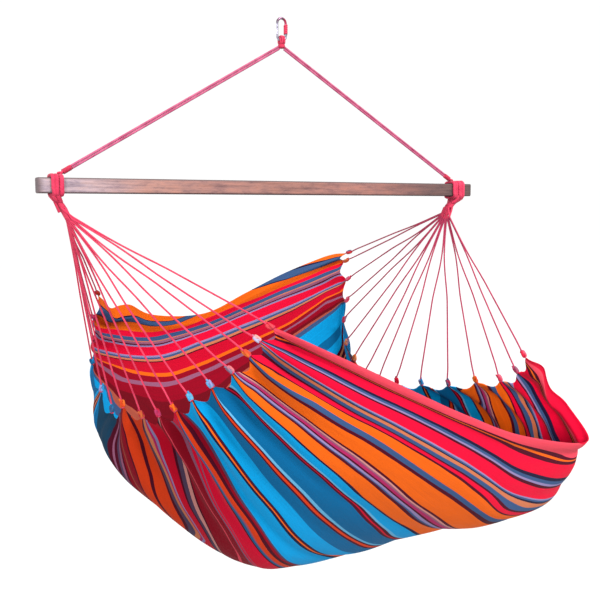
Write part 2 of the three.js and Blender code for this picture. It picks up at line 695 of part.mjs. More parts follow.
// The crown fills the space between the binding and the first bare length of the cords
function fanCrown(fan, end, name) {
  const points = [];
  const up = new THREE.Vector3(0, 0, 1);
  for (let pair = 0; pair < pairsPerFan; pair++) {
    const { place, direction } = cordStart(fan, end, pair);
    const turn = new THREE.Quaternion().setFromUnitVectors(up, direction);
    const sides = 8;
    for (let i = 0; i < sides; i++) {
      const angle = (2 * Math.PI * i) / sides;
      const rim = new THREE.Vector3(Math.cos(angle), Math.sin(angle), 0).multiplyScalar(cordDiameter / 2);
      points.push(rim.applyQuaternion(turn).add(place));
    }
  }
  const top = neckMiddle(fan, seizingSwing);
  top.z = -crownTop - gap;
  points.push(...ovalRing(top, fan.neckWidth / 2 - ridge, fan.neckDepth / 2 - ridge, 14));
  return namedMesh(name, toSolid(new ConvexGeometry(points)), rope);
}

// Assembly

const chair = new THREE.Group();
chair.add(linkBody(), linkGate(), gatePin(), linkBinding(), topEye(), topWhipping());
for (const [word, fan] of Object.entries(sides)) {
  const offset = strandDiameter / 2 + gap / 2;
  chair.add(legStrand(fan, `rope_${word}_upper`, offset));
  chair.add(legStrand(fan, `rope_${word}_lower`, -offset));
  chair.add(barEye(fan, `bar_eye_${word}`));
}

const belowBar = new THREE.Group();
belowBar.position.z = -barDrop;
belowBar.add(spreaderBar());
Object.entries(sides).forEach(([word, fan], end) => {
  belowBar.add(fanLoop(fan, `fan_loop_${word}`));
  belowBar.add(fanSeizing(fan, `fan_seizing_${word}`));
  belowBar.add(fanCrown(fan, end, `fan_crown_${word}`));
  for (let pair = 0; pair < pairsPerFan; pair++) {
    belowBar.add(fanCord(fan, end, pair, `cord_${word}_${pair + 1}`));
  }
});
belowBar.add(seatCloth());
chair.add(belowBar);

export default chair;
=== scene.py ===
import math

import bpy
import numpy as np
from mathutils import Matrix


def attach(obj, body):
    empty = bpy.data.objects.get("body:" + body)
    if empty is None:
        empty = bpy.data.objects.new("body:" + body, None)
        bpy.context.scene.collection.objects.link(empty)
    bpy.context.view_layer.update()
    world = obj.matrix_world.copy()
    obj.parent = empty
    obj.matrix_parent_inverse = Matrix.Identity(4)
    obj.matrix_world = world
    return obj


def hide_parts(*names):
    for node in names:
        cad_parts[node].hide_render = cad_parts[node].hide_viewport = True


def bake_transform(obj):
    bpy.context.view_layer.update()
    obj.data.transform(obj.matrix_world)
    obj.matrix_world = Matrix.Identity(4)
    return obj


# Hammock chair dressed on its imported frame. Shapes are worked out in millimetres, with the
# bar's middle as origin below the bar, and handed to Blender in metres.

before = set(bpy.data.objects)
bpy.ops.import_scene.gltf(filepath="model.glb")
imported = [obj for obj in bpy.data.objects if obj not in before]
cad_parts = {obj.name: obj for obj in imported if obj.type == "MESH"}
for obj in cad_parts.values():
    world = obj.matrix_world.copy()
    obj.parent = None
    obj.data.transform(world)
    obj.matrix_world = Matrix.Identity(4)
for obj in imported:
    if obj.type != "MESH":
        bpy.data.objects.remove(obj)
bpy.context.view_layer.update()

# ---- camera

CAMERA_PLACE = (-1.1441, -2.1737, -0.5295)
CAMERA_TURN = (83.538, 0.0, -29.0)
CAMERA_LENS = 49.83


def add_object(name, data):
    obj = bpy.data.objects.new(name, data)
    bpy.context.scene.collection.objects.link(obj)
    return obj


def add_camera():
    data = bpy.data.cameras.new("camera")
    data.lens = CAMERA_LENS
    data.sensor_width = 36.0
    data.dof.use_dof = False
    camera = add_object("camera", data)
    camera.location = CAMERA_PLACE
    camera.rotation_euler = np.radians(CAMERA_TURN)
    bpy.context.scene.camera = camera


add_camera()

# ---- values shared with the part's source

MM = 0.001
BAR_DROP = 479.0
BAR_LENGTH, BAR_HEIGHT, BAR_DEPTH, BAR_EDGE = 1400.0, 40.0, 36.0, 5.0
GAP = 0.3
LINK_ROD, LINK_HEIGHT, LINK_WIDTH = 7.0, 70.0, 34.0
BINDING_DIAMETER, BINDING_TOP, BINDING_LENGTH = 12.0, 12.0, 31.0
STRAND, TURN = 6.0, 6.4
WHIP_DIAMETER, WHIP_HEIGHT, NECK_HEIGHT = 21.0, 12.0, 5.0
EYE_THICK = 9.5
SPLICE_LENGTH = 36.0
LOOP_THICK, SEIZING = 11.0, 15.0
FAN_DEPTH, CROWN_RADIUS = 70.0, 24.0
PAIRS = 8
# Each side of the bar: which way it lies, the rope eye's inset and width, the loop's width,
# the neck's width and depth, and the neck's lean toward the middle
SIDES = {"left": {"side": -1, "inset": 58.0, "eye": 12.5, "loop": 20.0, "neck": (20.0, 24.0), "lean": 26.0},
         "right": {"side": 1, "inset": 70.0, "eye": 20.0, "loop": 28.0, "neck": (27.0, 30.0), "lean": 41.0}}
TAIL, TAIL_LENGTH, TAIL_LEAN, TAIL_FORWARD = 6.0, 47.0, 16.0, 6.0
CORD = 4.6
KNOT_LENGTH, KNOT_DIAMETER = 24.0, 16.0
SEAT = np.array([BAR_LENGTH / 2, 550.0, -1110.0])
CLOTH_THICK, HEM_THICK = 0.8, 3.0
PULL_REACH, PULL_STRENGTH = 110.0, 0.75

ROD = LINK_ROD / 2
LIMB_X = LINK_WIDTH / 2 - ROD
BOW_BOTTOM = LINK_ROD - LINK_HEIGHT + ROD
NECK_FOOT = BOW_BOTTOM - ROD - GAP - NECK_HEIGHT
WHIP_TOP = NECK_FOOT - GAP
EYE_TOP = -BAR_DROP + BAR_HEIGHT / 2 + GAP + EYE_THICK
LEG_TOP = WHIP_TOP - WHIP_HEIGHT / 2
for word in SIDES:
    part = SIDES[word]
    part["eye_x"] = part["side"] * (BAR_LENGTH / 2 - part["inset"])
    part["loop_x"] = part["eye_x"] + part["side"] * (part["eye"] / 2 + GAP + part["loop"] / 2)
    run, rise = -part["eye_x"], LEG_TOP - EYE_TOP
    part["leg"] = np.array([run, 0.0, rise]) / math.hypot(run, rise)
CROWN_TOP = FAN_DEPTH - CROWN_RADIUS / 2
NECK_SWING, SEIZING_SWING = 0.52, 0.88

LEFT_KNOTS = [
    [-0.343, -0.69, 0.306], [-0.393, -0.69, 0.332], [-0.43, -0.682, 0.362], [-0.476, -0.636, 0.399],
    [-0.517, -0.536, 0.437], [-0.564, -0.436, 0.473], [-0.6, -0.345, 0.505], [-0.633, -0.245, 0.525],
    [-0.661, -0.11, 0.541], [-0.689, 0.073, 0.532], [-0.7, 0.2, 0.559], [-0.7, 0.39, 0.523],
    [-0.694, 0.6, 0.468], [-0.661, 0.718, 0.419], [-0.65, 0.764, 0.36], [-0.621, 0.8, 0.293]]

RIGHT_KNOTS = [
    [0.843, -0.71, 0.432], [0.886, -0.6, 0.486], [0.886, -0.473, 0.52], [0.836, -0.345, 0.532],
    [0.786, -0.18, 0.554], [0.714, -0.045, 0.56], [0.661, 0.11, 0.568], [0.614, 0.2, 0.566],
    [0.574, 0.282, 0.551], [0.571, 0.4, 0.515], [0.6, 0.555, 0.477], [0.664, 0.71, 0.416],
    [0.743, 0.836, 0.36], [0.779, 0.89, 0.293], [0.783, 0.927, 0.232], [0.807, 0.936, 0.205]]

STRIPE_LINES = [
    (1, [[-0.2, -0.764, 0.351], [-0.014, -0.818, 0.409], [0.2, -0.845, 0.477],
         [0.45, -0.855, 0.553], [0.76, -0.845, 0.633], [1.195, -0.764, 0.695], [1.147, -0.664, 0.6]]),
    (3, [[-0.28, -0.745, 0.451], [-0.067, -0.782, 0.549], [0.16, -0.8, 0.633],
         [0.434, -0.782, 0.745], [0.76, -0.71, 0.865], [1.13, -0.6, 0.865], [1.14, -0.49, 0.685]]),
    (5.5, [[-0.444, -0.59, 0.569], [-0.277, -0.573, 0.706], [-0.041, -0.5, 0.846],
           [0.286, -0.364, 0.952], [0.6, -0.29, 0.95], [0.93, -0.227, 0.865], [1, -0.164, 0.712]]),
    (8.5, [[-0.556, -0.236, 0.649], [-0.439, -0.255, 0.8], [-0.223, -0.218, 0.97],
           [0.071, -0.09, 0.99], [0.386, 0, 0.946], [0.686, 0.073, 0.865], [0.8, 0.164, 0.712]]),
    (11.5, [[-0.75, 0.24, 0.636], [-0.649, 0.182, 0.724], [-0.357, 0.236, 0.838],
            [-0.071, 0.31, 0.865], [0.214, 0.4, 0.838], [0.486, 0.51, 0.739], [0.643, 0.582, 0.613]]),
    (14, [[-0.59, 0.836, 0.47], [-0.313, 0.89, 0.509], [-0.087, 0.909, 0.482],
          [0.139, 0.927, 0.439], [0.359, 0.927, 0.395], [0.54, 0.927, 0.359], [0.693, 0.909, 0.322]]),
    (16, [[-0.514, 0.89, 0.333], [-0.289, 0.964, 0.382], [-0.031, 0.99, 0.387],
          [0.196, 1, 0.331], [0.401, 1, 0.277], [0.58, 0.99, 0.237], [0.724, 0.964, 0.208]]),
]

# ---- vector helpers


def unit(v):
    v = np.asarray(v, float)
    return v / np.maximum(np.linalg.norm(v, axis=-1, keepdims=True), 1e-9)


def spline(points, t):
    """Uniform Catmull-Rom through points, t from 0 to 1."""
    points = np.asarray(points, float)
    last = len(points) - 1
    padded = np.vstack([2 * points[:1] - points[1:2], points, 2 * points[-1:] - points[-2:-1]])
    x = np.clip(np.asarray(t, float), 0, 1) * last
    i = np.minimum(x.astype(int), last - 1)
    f = (x - i)[..., None]
    p0, p1, p2, p3 = [padded[i + k] for k in range(4)]
    return 0.5 * (2 * p1 + (p2 - p0) * f + (2 * p0 - 5 * p1 + 4 * p2 - p3) * f ** 2
                  + (3 * p1 - p0 - 3 * p2 + p3) * f ** 3)


def run_along(points):
    return np.concatenate([[0], np.cumsum(np.linalg.norm(np.diff(points, axis=0), axis=1))])


def at_shares(points, shares):
    """Places at shares of the length of a line of points."""
    run = run_along(points)
    at = np.asarray(shares) * run[-1]
    return np.stack([np.interp(at, run, column) for column in points.T], axis=-1)


def evenly(points, step, dense=60, smooth=True):
    """The curve through points again, with places about a step apart, and how far along they lie."""
    points = np.asarray(points, float)
    if smooth:
        points = spline(points, np.linspace(0, 1, dense * (len(points) - 1) + 1))
    length = run_along(points)[-1]
    shares = np.linspace(0, 1, max(2, int(round(length / step)) + 1))
    return at_shares(points, shares), shares * length


def across(direction, hint=(0, 0, 1)):
    """A unit vector square to a direction, as near to the hint as can be."""
    d = unit(direction)
    h = np.asarray(hint, float)
    if abs(np.dot(d, h)) > 0.95:
        h = np.array([1.0, 0, 0])
    return unit(h - d * np.dot(h, d))


# ---- the seat's surface

# Over what share of the length the cloth is drawn to its knots
DRAWN_SHARE = 0.3
KNOTS = [np.array(LEFT_KNOTS) * SEAT, np.array(RIGHT_KNOTS) * SEAT]
LAST = len(LEFT_KNOTS)
LINES = np.array([line for line, _ in STRIPE_LINES], float)


def fan_centre(word):
    part = SIDES[word]
    return np.array([part["loop_x"] - part["side"] * part["lean"], 0, -FAN_DEPTH])


FAN_CENTRES = [fan_centre("left"), fan_centre("right")]


def knot_place(end, line):
    return spline(KNOTS[end], (np.asarray(line, float) - 1) / (LAST - 1))


RAILS = [np.vstack([knot_place(0, line), np.array(shares) * SEAT, knot_place(1, line)])
         for line, shares in STRIPE_LINES]


def across_stripes(points, line):
    """The smooth curve across the rails' points, at a line counted in knots."""
    spans = np.diff(LINES)
    slopes = [(b - a) / span for a, b, span in zip(points, points[1:], spans)]
    tangents = [slopes[0]]
    for i in range(1, len(spans)):
        total = spans[i - 1] + spans[i]
        tangents.append(slopes[i - 1] * (spans[i] / total) + slopes[i] * (spans[i - 1] / total))
    tangents.append(slopes[-1])
    out = np.zeros(points[0].shape)
    for i, span in enumerate(spans):
        t = ((line - LINES[i]) / span)[..., None]
        value = ((2 * t ** 3 - 3 * t ** 2 + 1) * points[i] + (t ** 3 - 2 * t ** 2 + t) * span * tangents[i]
                 + (3 * t ** 2 - 2 * t ** 3) * points[i + 1] + (t ** 3 - t ** 2) * span * tangents[i + 1])
        out = np.where((line >= LINES[i])[..., None], value, out)
    return out


def draped(along, line):
    def net(share):
        return across_stripes([spline(rail, share) for rail in RAILS], line)
    place = net(along)
    for end in (0, 1):
        near = np.clip(1 - np.abs(along - end) / DRAWN_SHARE, 0, 1) ** 2
        place = place + (knot_place(end, line) - net(np.full_like(along, float(end)))) * near[..., None]
    return place


def end_speed(end, line):
    """Millimetres of cloth to a share of its length, at an end."""
    line = np.asarray(line, float)
    step = 0.01
    near = draped(np.full_like(line, abs(end - step)), line)
    return np.linalg.norm(near - knot_place(end, line), axis=-1) / step


def smooth_seat(along, line):
    """The seat without its folds, pulled toward the fans' centres near its knots."""
    along, line = np.asarray(along, float), np.asarray(line, float)
    place = draped(along, line)
    for end in (0, 1):
        mine = (along < 0.5) if end == 0 else (along >= 0.5)
        distance = np.abs(along - end) * end_speed(end, line)
        near = np.clip(1 - distance / PULL_REACH, 0, 1) ** 2 * mine
        held = knot_place(end, line)
        target = held + unit(held - FAN_CENTRES[end]) * distance[..., None]
        place = place + (target - place) * (PULL_STRENGTH * near)[..., None]
    return place


# ---- mesh gathering


class Shape:
    """Gathers points and faces of one piece, in millimetres, then makes it a Blender object."""

    def __init__(self, below_bar=True):
        self.offset = np.array([0, 0, -BAR_DROP if below_bar else 0.0])
        self.points, self.faces, self.tints, self.slots, self.uvs = [], [], [], [], []
        self.count = 0

    def add(self, points, faces, uv, tint=(1, 1, 1), slot=0):
        self.points.append(points)
        self.faces += [[i + self.count for i in face] for face in faces]
        self.tints.append(np.broadcast_to(tint, points.shape))
        self.uvs.append(uv)
        self.slots += [slot] * len(faces)
        self.count += len(points)

    def build(self, name, body, node, materials=None):
        """The piece in place of a node, riding on a body, or on none where it is blended."""
        mesh = bpy.data.meshes.new(name)
        mesh.from_pydata(((np.vstack(self.points) + self.offset) * MM).tolist(), [], self.faces)
        mesh.polygons.foreach_set("use_smooth", [True] * len(self.faces))
        mesh.polygons.foreach_set("material_index", self.slots)
        tints = np.hstack([np.vstack(self.tints), np.ones((self.count, 1))])
        colours = mesh.color_attributes.new("tint", "FLOAT_COLOR", "POINT")
        colours.data.foreach_set("color", tints.ravel())
        corners = np.empty(len(mesh.loops), dtype=np.int32)
        mesh.loops.foreach_get("vertex_index", corners)
        layer = mesh.uv_layers.new(name="cloth")
        layer.data.foreach_set("uv", np.vstack(self.uvs)[corners].ravel())
        for material in materials or [ROPE]:
            mesh.materials.append(material)
        mesh.validate()
        mesh.update()
        obj = add_object(name, mesh)
        if body:
            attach(obj, body)
        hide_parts(node)
        return obj


def tube(shape, path, radius, sides=10, tint=(1, 1, 1), slot=0, section=None, run=None, hint=(0, 0, 1),
         held=False):
    """A closed skin round a path. The section gives a factor on the radius from angle and run.
    A held skin keeps its section turned to the hint all the way."""
    path = np.asarray(path, float)
    count = len(path)
    run = run_along(path) if run is None else run
    tangent = unit(np.gradient(path, axis=0))
    normal = np.empty_like(path)
    normal[0] = across(tangent[0], hint)
    for i in range(1, count):
        way = np.asarray(hint, float) if held else normal[i - 1]
        normal[i] = unit(way - tangent[i] * np.dot(way, tangent[i]))
    side = np.cross(tangent, normal)
    angle = np.linspace(0, 2 * np.pi, sides, endpoint=False)
    reach = np.broadcast_to(np.asarray(radius, float), (count,))[:, None]
    if section:
        reach = reach * section(angle[None, :], run[:, None])
    rings = path[:, None] + reach[..., None] * (np.cos(angle)[None, :, None] * normal[:, None]
                                                + np.sin(angle)[None, :, None] * side[:, None])
    points = np.vstack([rings.reshape(-1, 3), path[:1], path[-1:]])
    first, last, end = count * sides, count * sides + 1, (count - 1) * sides
    after = [(c + 1) % sides for c in range(sides)]
    faces = [[at + c, at + after[c], at + after[c] + sides, at + c + sides]
             for at in range(0, end, sides) for c in range(sides)]
    for c in range(sides):
        faces += [[first, after[c], c], [last, end + c, end + after[c]]]
    tint = np.broadcast_to(tint, (count, 3))
    tint = np.vstack([np.repeat(tint, sides, axis=0), tint[:1], tint[-1:]])
    uv = np.column_stack([np.append(np.repeat(run, sides), run[[0, -1]]) * MM,
                          np.append(np.tile(angle, count), [0, 0])])
    shape.add(points, faces, uv, tint, slot)


def laid(lobes=3, pitch=16.0, depth=0.2, phase=0.0, flat=1.0):
    """Section of a rope of twisted strands, pressed flatter by a factor."""
    def section(angle, run):
        twist = angle + 2 * np.pi * run / pitch + phase
        oval = 1 / np.sqrt(np.cos(angle) ** 2 / flat ** 2 + np.sin(angle) ** 2)
        return oval * (1 - depth * (1 - np.abs(np.cos(lobes * twist / 2))))
    return section


def rope(shape, points, diameter, pitch, step=None, sides=12, lobes=3, smooth=True, slot=0,
         tint=(1, 1, 1), taper=None, phase=0.0, depth=0.2, flat=1.0, hint=(0, 0, 1)):
    path, run = evenly(points, step or pitch / 9, smooth=smooth)
    radius = diameter / 2 * (np.ones(len(path)) if taper is None else taper(run / run[-1]))
    tube(shape, path, radius, sides, tint, slot, laid(lobes, pitch, depth, phase, flat), run, hint)


def core(shape, start, finish, radius, sides, step=1.0, tint=(0.7, 0.62, 0.7), taper=None, hint=(0, 0, 1)):
    """The shaded inside of a bundle of turns."""
    path, run = evenly([start, finish], step, smooth=False)
    tube(shape, path, radius * (1 if taper is None else taper(run / run[-1])), sides, tint, hint=hint)


def coil(start, finish, first, second, turns, steps, phase=0.0, reach=None):
    """A path wound round the line from start to finish, from its first way over to its second."""
    start, finish = np.asarray(start, float), np.asarray(finish, float)
    share = np.linspace(0, 1, steps * turns + 1)[:, None]
    angle = 2 * np.pi * turns * share + phase
    wound = np.cos(angle) * np.asarray(first) + np.sin(angle) * np.asarray(second)
    return start + (finish - start) * share + (1 if reach is None else reach(share)) * wound


# ---- materials


def linear(hex_colour, gain=1.0):
    out = []
    for i in (0, 2, 4):
        c = int(hex_colour[i:i + 2], 16) / 255
        out.append((c / 12.92 if c <= 0.04045 else ((c + 0.055) / 1.055) ** 2.4) * gain)
    return out


class Graph:
    """Small helper for node trees. A source is another node's output or a constant."""

    def __init__(self, name):
        self.material = bpy.data.materials.new(name)
        self.material.use_nodes = True
        self.tree = self.material.node_tree
        self.tree.nodes.clear()
        self.shader = self.node("BsdfPrincipled")
        self.node("OutputMaterial", {"Surface": self.shader.outputs["BSDF"]})

    def feed(self, node, sources):
        for key, source in sources.items():
            if hasattr(source, "is_linked"):
                self.tree.links.new(source, node.inputs[key])
            else:
                node.inputs[key].default_value = source

    def node(self, kind, sources=None, **settings):
        node = self.tree.nodes.new("ShaderNode" + kind)
        for key, value in settings.items():
            setattr(node, key, value)
        self.feed(node, sources or {})
        return node

    def math(self, operation, *sources, clamp=False):
        return self.node("Math", dict(enumerate(sources)), operation=operation, use_clamp=clamp).outputs[0]

    def mix(self, factor, a, b, blend="MIX"):
        a, b = [(*tone, 1.0) if isinstance(tone, list) else tone for tone in (a, b)]
        return self.node("Mix", {0: factor, 6: a, 7: b}, data_type="RGBA", blend_type=blend).outputs[2]

    def ramp(self, factor, stops, kind="LINEAR"):
        node = self.node("ValToRGB", {0: factor})
        band = node.color_ramp
        band.interpolation = kind
        while len(band.elements) < len(stops):
            band.elements.new(0.5)
        for element, (at, colour) in zip(band.elements, stops):
            element.position = at
            element.color = (*colour, 1.0)
        return node.outputs[0]

    def mottled(self, colour, factor, *stops):
        """A colour times a ramp."""
        return self.mix(1.0, colour, self.ramp(factor, stops), "MULTIPLY")

    def noise(self, vector, scale, detail=3.0, rough=0.55, stretch=None):
        if stretch:
            vector = self.node("Mapping", {"Vector": vector, "Scale": stretch}).outputs[0]
        sources = {"Vector": vector, "Scale": scale, "Detail": detail, "Roughness": rough}
        return self.node("TexNoise", sources).outputs["Fac"]

    def bump(self, height, strength, distance, **before):
        sources = {"Height": height, "Strength": strength, "Distance": distance, **before}
        return self.node("Bump", sources).outputs[0]

    def range(self, value, low, high, to_low=0.0, to_high=1.0):
        sources = {"Value": value, "From Min": low, "From Max": high, "To Min": to_low, "To Max": to_high}
        return self.node("MapRange", sources).outputs[0]

    def object_place(self):
        return self.node("TexCoord").outputs["Object"]

    def parts(self, vector):
        return self.node("SeparateXYZ", {0: vector}).outputs

    def finish(self, colour, roughness, normal=None, surface=None):
        self.feed(self.shader, {"Base Color": colour, "Roughness": roughness, **(surface or {})})
        if normal is not None:
            self.feed(self.shader, {"Normal": normal})
        return self.material


# Stripes of the cloth, front hem to back hem: where each ends, counted in knots, and its colour
# The dark shade red (9C0020) is red darkened as painted shade, where the seat's inside and its folds lie in
# shade.
CORAL, RED, DEEP_RED, PAINTED_SHADE_RED, WINE = "FF4E62", "F6063A", "D8022C", "9C0020", "540422"
ORANGE, RUST, TAN, PINK, MAGENTA = "FF6C10", "F04414", "DC8058", "E09890", "BC2A68"
LILAC, MAUVE, SLATE, DEEP_SLATE = "9C8CBC", "9C5E7C", "3E5C8A", "584460"
SKY, TEAL, PALE, NAVY = "00A4E6", "006AA0", "6CBCE6", "201A3C"
# The darkest red (780418) is painted shadow inside the seat, behind the left knots.
DEEP_TEAL, DUSTY, PAINTED_SHADOW_RED = "14405C", "B85844", "780418"
FIRST_STRIPE = 0.5
# The wine lines beside the coral hem, from 1.28 to 1.45, also stand as painted fold shadow.
STRIPES = [
    (1.00, RED), (1.28, CORAL), (1.34, WINE), (1.38, ORANGE), (1.45, WINE), (1.66, RED), (1.71, NAVY),
    (1.76, SLATE), (1.80, LILAC), (1.84, WINE), (2.12, RED), (2.16, LILAC), (2.20, SLATE), (2.23, NAVY),
    (2.34, TAN), (2.47, SLATE), (2.52, WINE), (2.62, RED), (2.66, WINE), (2.84, ORANGE), (2.97, SLATE),
    (3.05, WINE), (3.40, ORANGE), (3.44, WINE), (3.48, PINK), (3.52, MAUVE), (3.58, MAGENTA), (3.62, WINE),
    (3.67, LILAC), (3.70, SLATE), (3.74, WINE), (3.98, ORANGE), (4.02, NAVY), (4.25, SKY), (4.30, PALE),
    (4.34, WINE), (4.38, DEEP_RED), (4.42, WINE), (4.85, TEAL), (4.92, PALE), (4.96, WINE), (5.03, RUST),
    (5.07, WINE), (5.40, TEAL), (5.80, SKY), (5.84, NAVY), (5.88, WINE), (5.94, ORANGE), (6.02, NAVY),
    (6.62, SKY), (6.68, DEEP_SLATE), (6.78, PAINTED_SHADE_RED), (6.90, WINE), (7.04, RUST), (7.08, MAUVE),
    (7.13, TEAL), (7.18, WINE), (7.66, RED), (7.70, MAUVE), (7.77, RED), (7.82, MAUVE), (8.05, PAINTED_SHADE_RED),
    (8.09, CORAL), (8.46, PAINTED_SHADE_RED), (8.49, WINE), (8.57, PINK), (8.66, DEEP_SLATE), (8.70, WINE),
    (8.90, DEEP_RED), (8.94, LILAC), (8.99, MAGENTA), (9.08, TAN), (9.20, DEEP_SLATE), (9.28, WINE),
    (9.56, RUST), (9.64, WINE), (9.91, RUST), (9.96, WINE), (10.18, PAINTED_SHADE_RED), (10.25, DUSTY),
    (10.38, PAINTED_SHADE_RED), (10.42, WINE), (10.48, MAUVE), (10.55, DEEP_SLATE), (10.62, WINE), (10.67, MAUVE),
    (10.74, WINE), (10.98, DEEP_TEAL), (11.20, TEAL), (11.60, SKY), (12.00, TEAL), (12.10, WINE),
    (12.16, TAN), (12.26, WINE), (12.32, TAN), (12.40, WINE), (12.62, SKY), (12.80, TEAL), (13.15, SKY),
    (13.22, SLATE), (13.24, DUSTY), (13.30, PAINTED_SHADOW_RED), (13.40, PAINTED_SHADE_RED), (13.46, MAUVE), (13.56, PAINTED_SHADE_RED),
    (13.62, ORANGE), (13.85, DEEP_RED), (13.89, WINE), (13.95, TAN), (14.00, SLATE), (14.06, LILAC),
    (14.36, RED), (14.41, LILAC), (14.45, WINE), (14.54, MAUVE), (14.57, TAN), (14.72, SLATE), (14.92, RED),
    (15.30, ORANGE), (15.34, NAVY), (15.56, SLATE), (15.60, NAVY), (16.00, ORANGE)]
CLOTH_GAIN = 0.47
BAND_HOLDS = 30


def stripe_colour(graph, line):
    """Chained colour bands, each holding as many stripes as a band can."""
    colour = None
    low = FIRST_STRIPE
    for first in range(0, len(STRIPES), BAND_HOLDS):
        batch = STRIPES[first:first + BAND_HOLDS]
        high = batch[-1][0]
        starts = [low] + [end for end, _ in batch[:-1]]
        stops = [((at - low) / (high - low), linear(tone, CLOTH_GAIN))
                 for at, (_, tone) in zip(starts, batch)]
        band = graph.ramp(graph.range(line, low, high), stops, "CONSTANT")
        colour = band if colour is None else graph.mix(graph.math("GREATER_THAN", line, low), colour, band)
        low = high
    return colour


COTTON_SURFACE = {"Sheen Weight": 0.02, "Sheen Roughness": 0.5, "Specular IOR Level": 0.05}
ROPE_SURFACE = {"Sheen Weight": 0.1, "Sheen Roughness": 0.45, "Specular IOR Level": 0.3}
# How far the stripes wander, the line where the painted shade is deepest, and how much painted light
# brightens the right end
WANDER, DARKEST_SHADE_LINE, RIGHT_END_PAINTED_LIGHT = 0.012, 8.8, 0.85
WARPS_PER_KNOT, WEFTS_PER_METRE = 60, 620


def cotton_material():
    graph = Graph("striped_cotton")
    uv = graph.node("UVMap", uv_map="cloth").outputs[0]
    knots, metres, _ = graph.parts(uv)
    wander = graph.noise(uv, 4.0, stretch=(3.0, 1.5, 1.0))
    line = graph.math("ADD", knots, graph.range(wander, 0.0, 1.0, -WANDER, WANDER))
    # painted shade: the stripes of the seat's middle, where it hangs lowest, are darkened
    off = graph.math("ABSOLUTE", graph.math("SUBTRACT", line, DARKEST_SHADE_LINE))
    deep = graph.range(off, 1.4, 2.3, 0.70, 1.0)
    # and painted light brightens the stripes of the front half near the right end
    front = graph.math("MULTIPLY", graph.range(line, 1.3, 1.7), graph.range(line, 8.0, 9.5, 1.0, 0.0))
    painted_light = graph.math("MULTIPLY", graph.range(metres, 1.32, 1.44, 0.0, RIGHT_END_PAINTED_LIGHT), front)
    gain = graph.math("MULTIPLY", deep, graph.math("ADD", painted_light, 1.0))
    painted_light_and_shade = graph.node("CombineXYZ", {0: gain, 1: gain, 2: gain}).outputs[0]
    colour = graph.mix(1.0, stripe_colour(graph, line), painted_light_and_shade, "MULTIPLY")
    streak = graph.noise(uv, 3.0, 4.0, stretch=(60.0, 1.2, 1.0))
    colour = graph.mottled(colour, streak, (0.25, (0.80, 0.80, 0.82)), (0.75, (1.12, 1.10, 1.10)))
    slub = graph.noise(uv, 5.0, 2.0, stretch=(12.0, 90.0, 1.0))
    colour = graph.mottled(colour, slub, (0.3, (0.93, 0.93, 0.94)), (0.7, (1.05, 1.05, 1.05)))
    warp = graph.math("SINE", graph.math("MULTIPLY", knots, 2 * math.pi * WARPS_PER_KNOT))
    weft = graph.math("SINE", graph.math("MULTIPLY", metres, 2 * math.pi * WEFTS_PER_METRE))
    weave = graph.bump(graph.math("MULTIPLY", warp, weft), 0.28, 0.0006)
    crumple = graph.bump(graph.noise(uv, 2.4, 4.0, stretch=(3.0, 9.0, 1.0)), 0.30, 0.006, Normal=weave)
    fuzz = graph.bump(graph.noise(graph.object_place(), 900.0, 2.0), 0.12, 0.0005, Normal=crumple)
    return graph.finish(colour, graph.range(streak, 0.2, 0.8, 0.78, 0.94), fuzz, COTTON_SURFACE)


def thread_material(name, scale, dark, light, relief, rough, surface, tones=None):
    """Spun cotton in the piece's own tints, or in these times two tones in patches."""
    graph = Graph(name)
    place = graph.object_place()
    colour = graph.node("VertexColor", layer_name="tint").outputs[0]
    if tones:
        patches = graph.range(graph.noise(place, 38.0), 0.3, 0.7)
        both = graph.mix(patches, *[linear(tone, ROPE_GAIN) for tone in tones])
        colour = graph.mix(1.0, colour, both, "MULTIPLY")
    fibre = graph.noise(place, scale)
    colour = graph.mottled(colour, fibre, (0.25, dark), (0.75, light))
    return graph.finish(colour, graph.range(fibre, 0.2, 0.8, *rough), graph.bump(fibre, *relief), surface)


def rope_material(name, *tones):
    return thread_material(name, 1400.0, (0.78, 0.76, 0.78), (1.12, 1.12, 1.12), (0.45, 0.0006), (0.62, 0.85),
                           ROPE_SURFACE, tones)


def tuft_material():
    return thread_material("knotted_cotton", 700.0, (0.78, 0.78, 0.80), (1.1, 1.1, 1.1), (0.5, 0.0008),
                           (0.8, 0.93), COTTON_SURFACE)


# Grey at the left, partly weathering and partly a painted reflection, brown in the middle, dark at the right
WOOD_AND_REFLECTION_TONES = ((0.0, "8A7C82"), (0.10, "88767A"), (0.20, "805F58"), (0.34, "785650"), (0.5, "76524A"),
              (0.7, "75504A"), (0.8, "644440"), (0.88, "4E3836"), (1.0, "443432"))


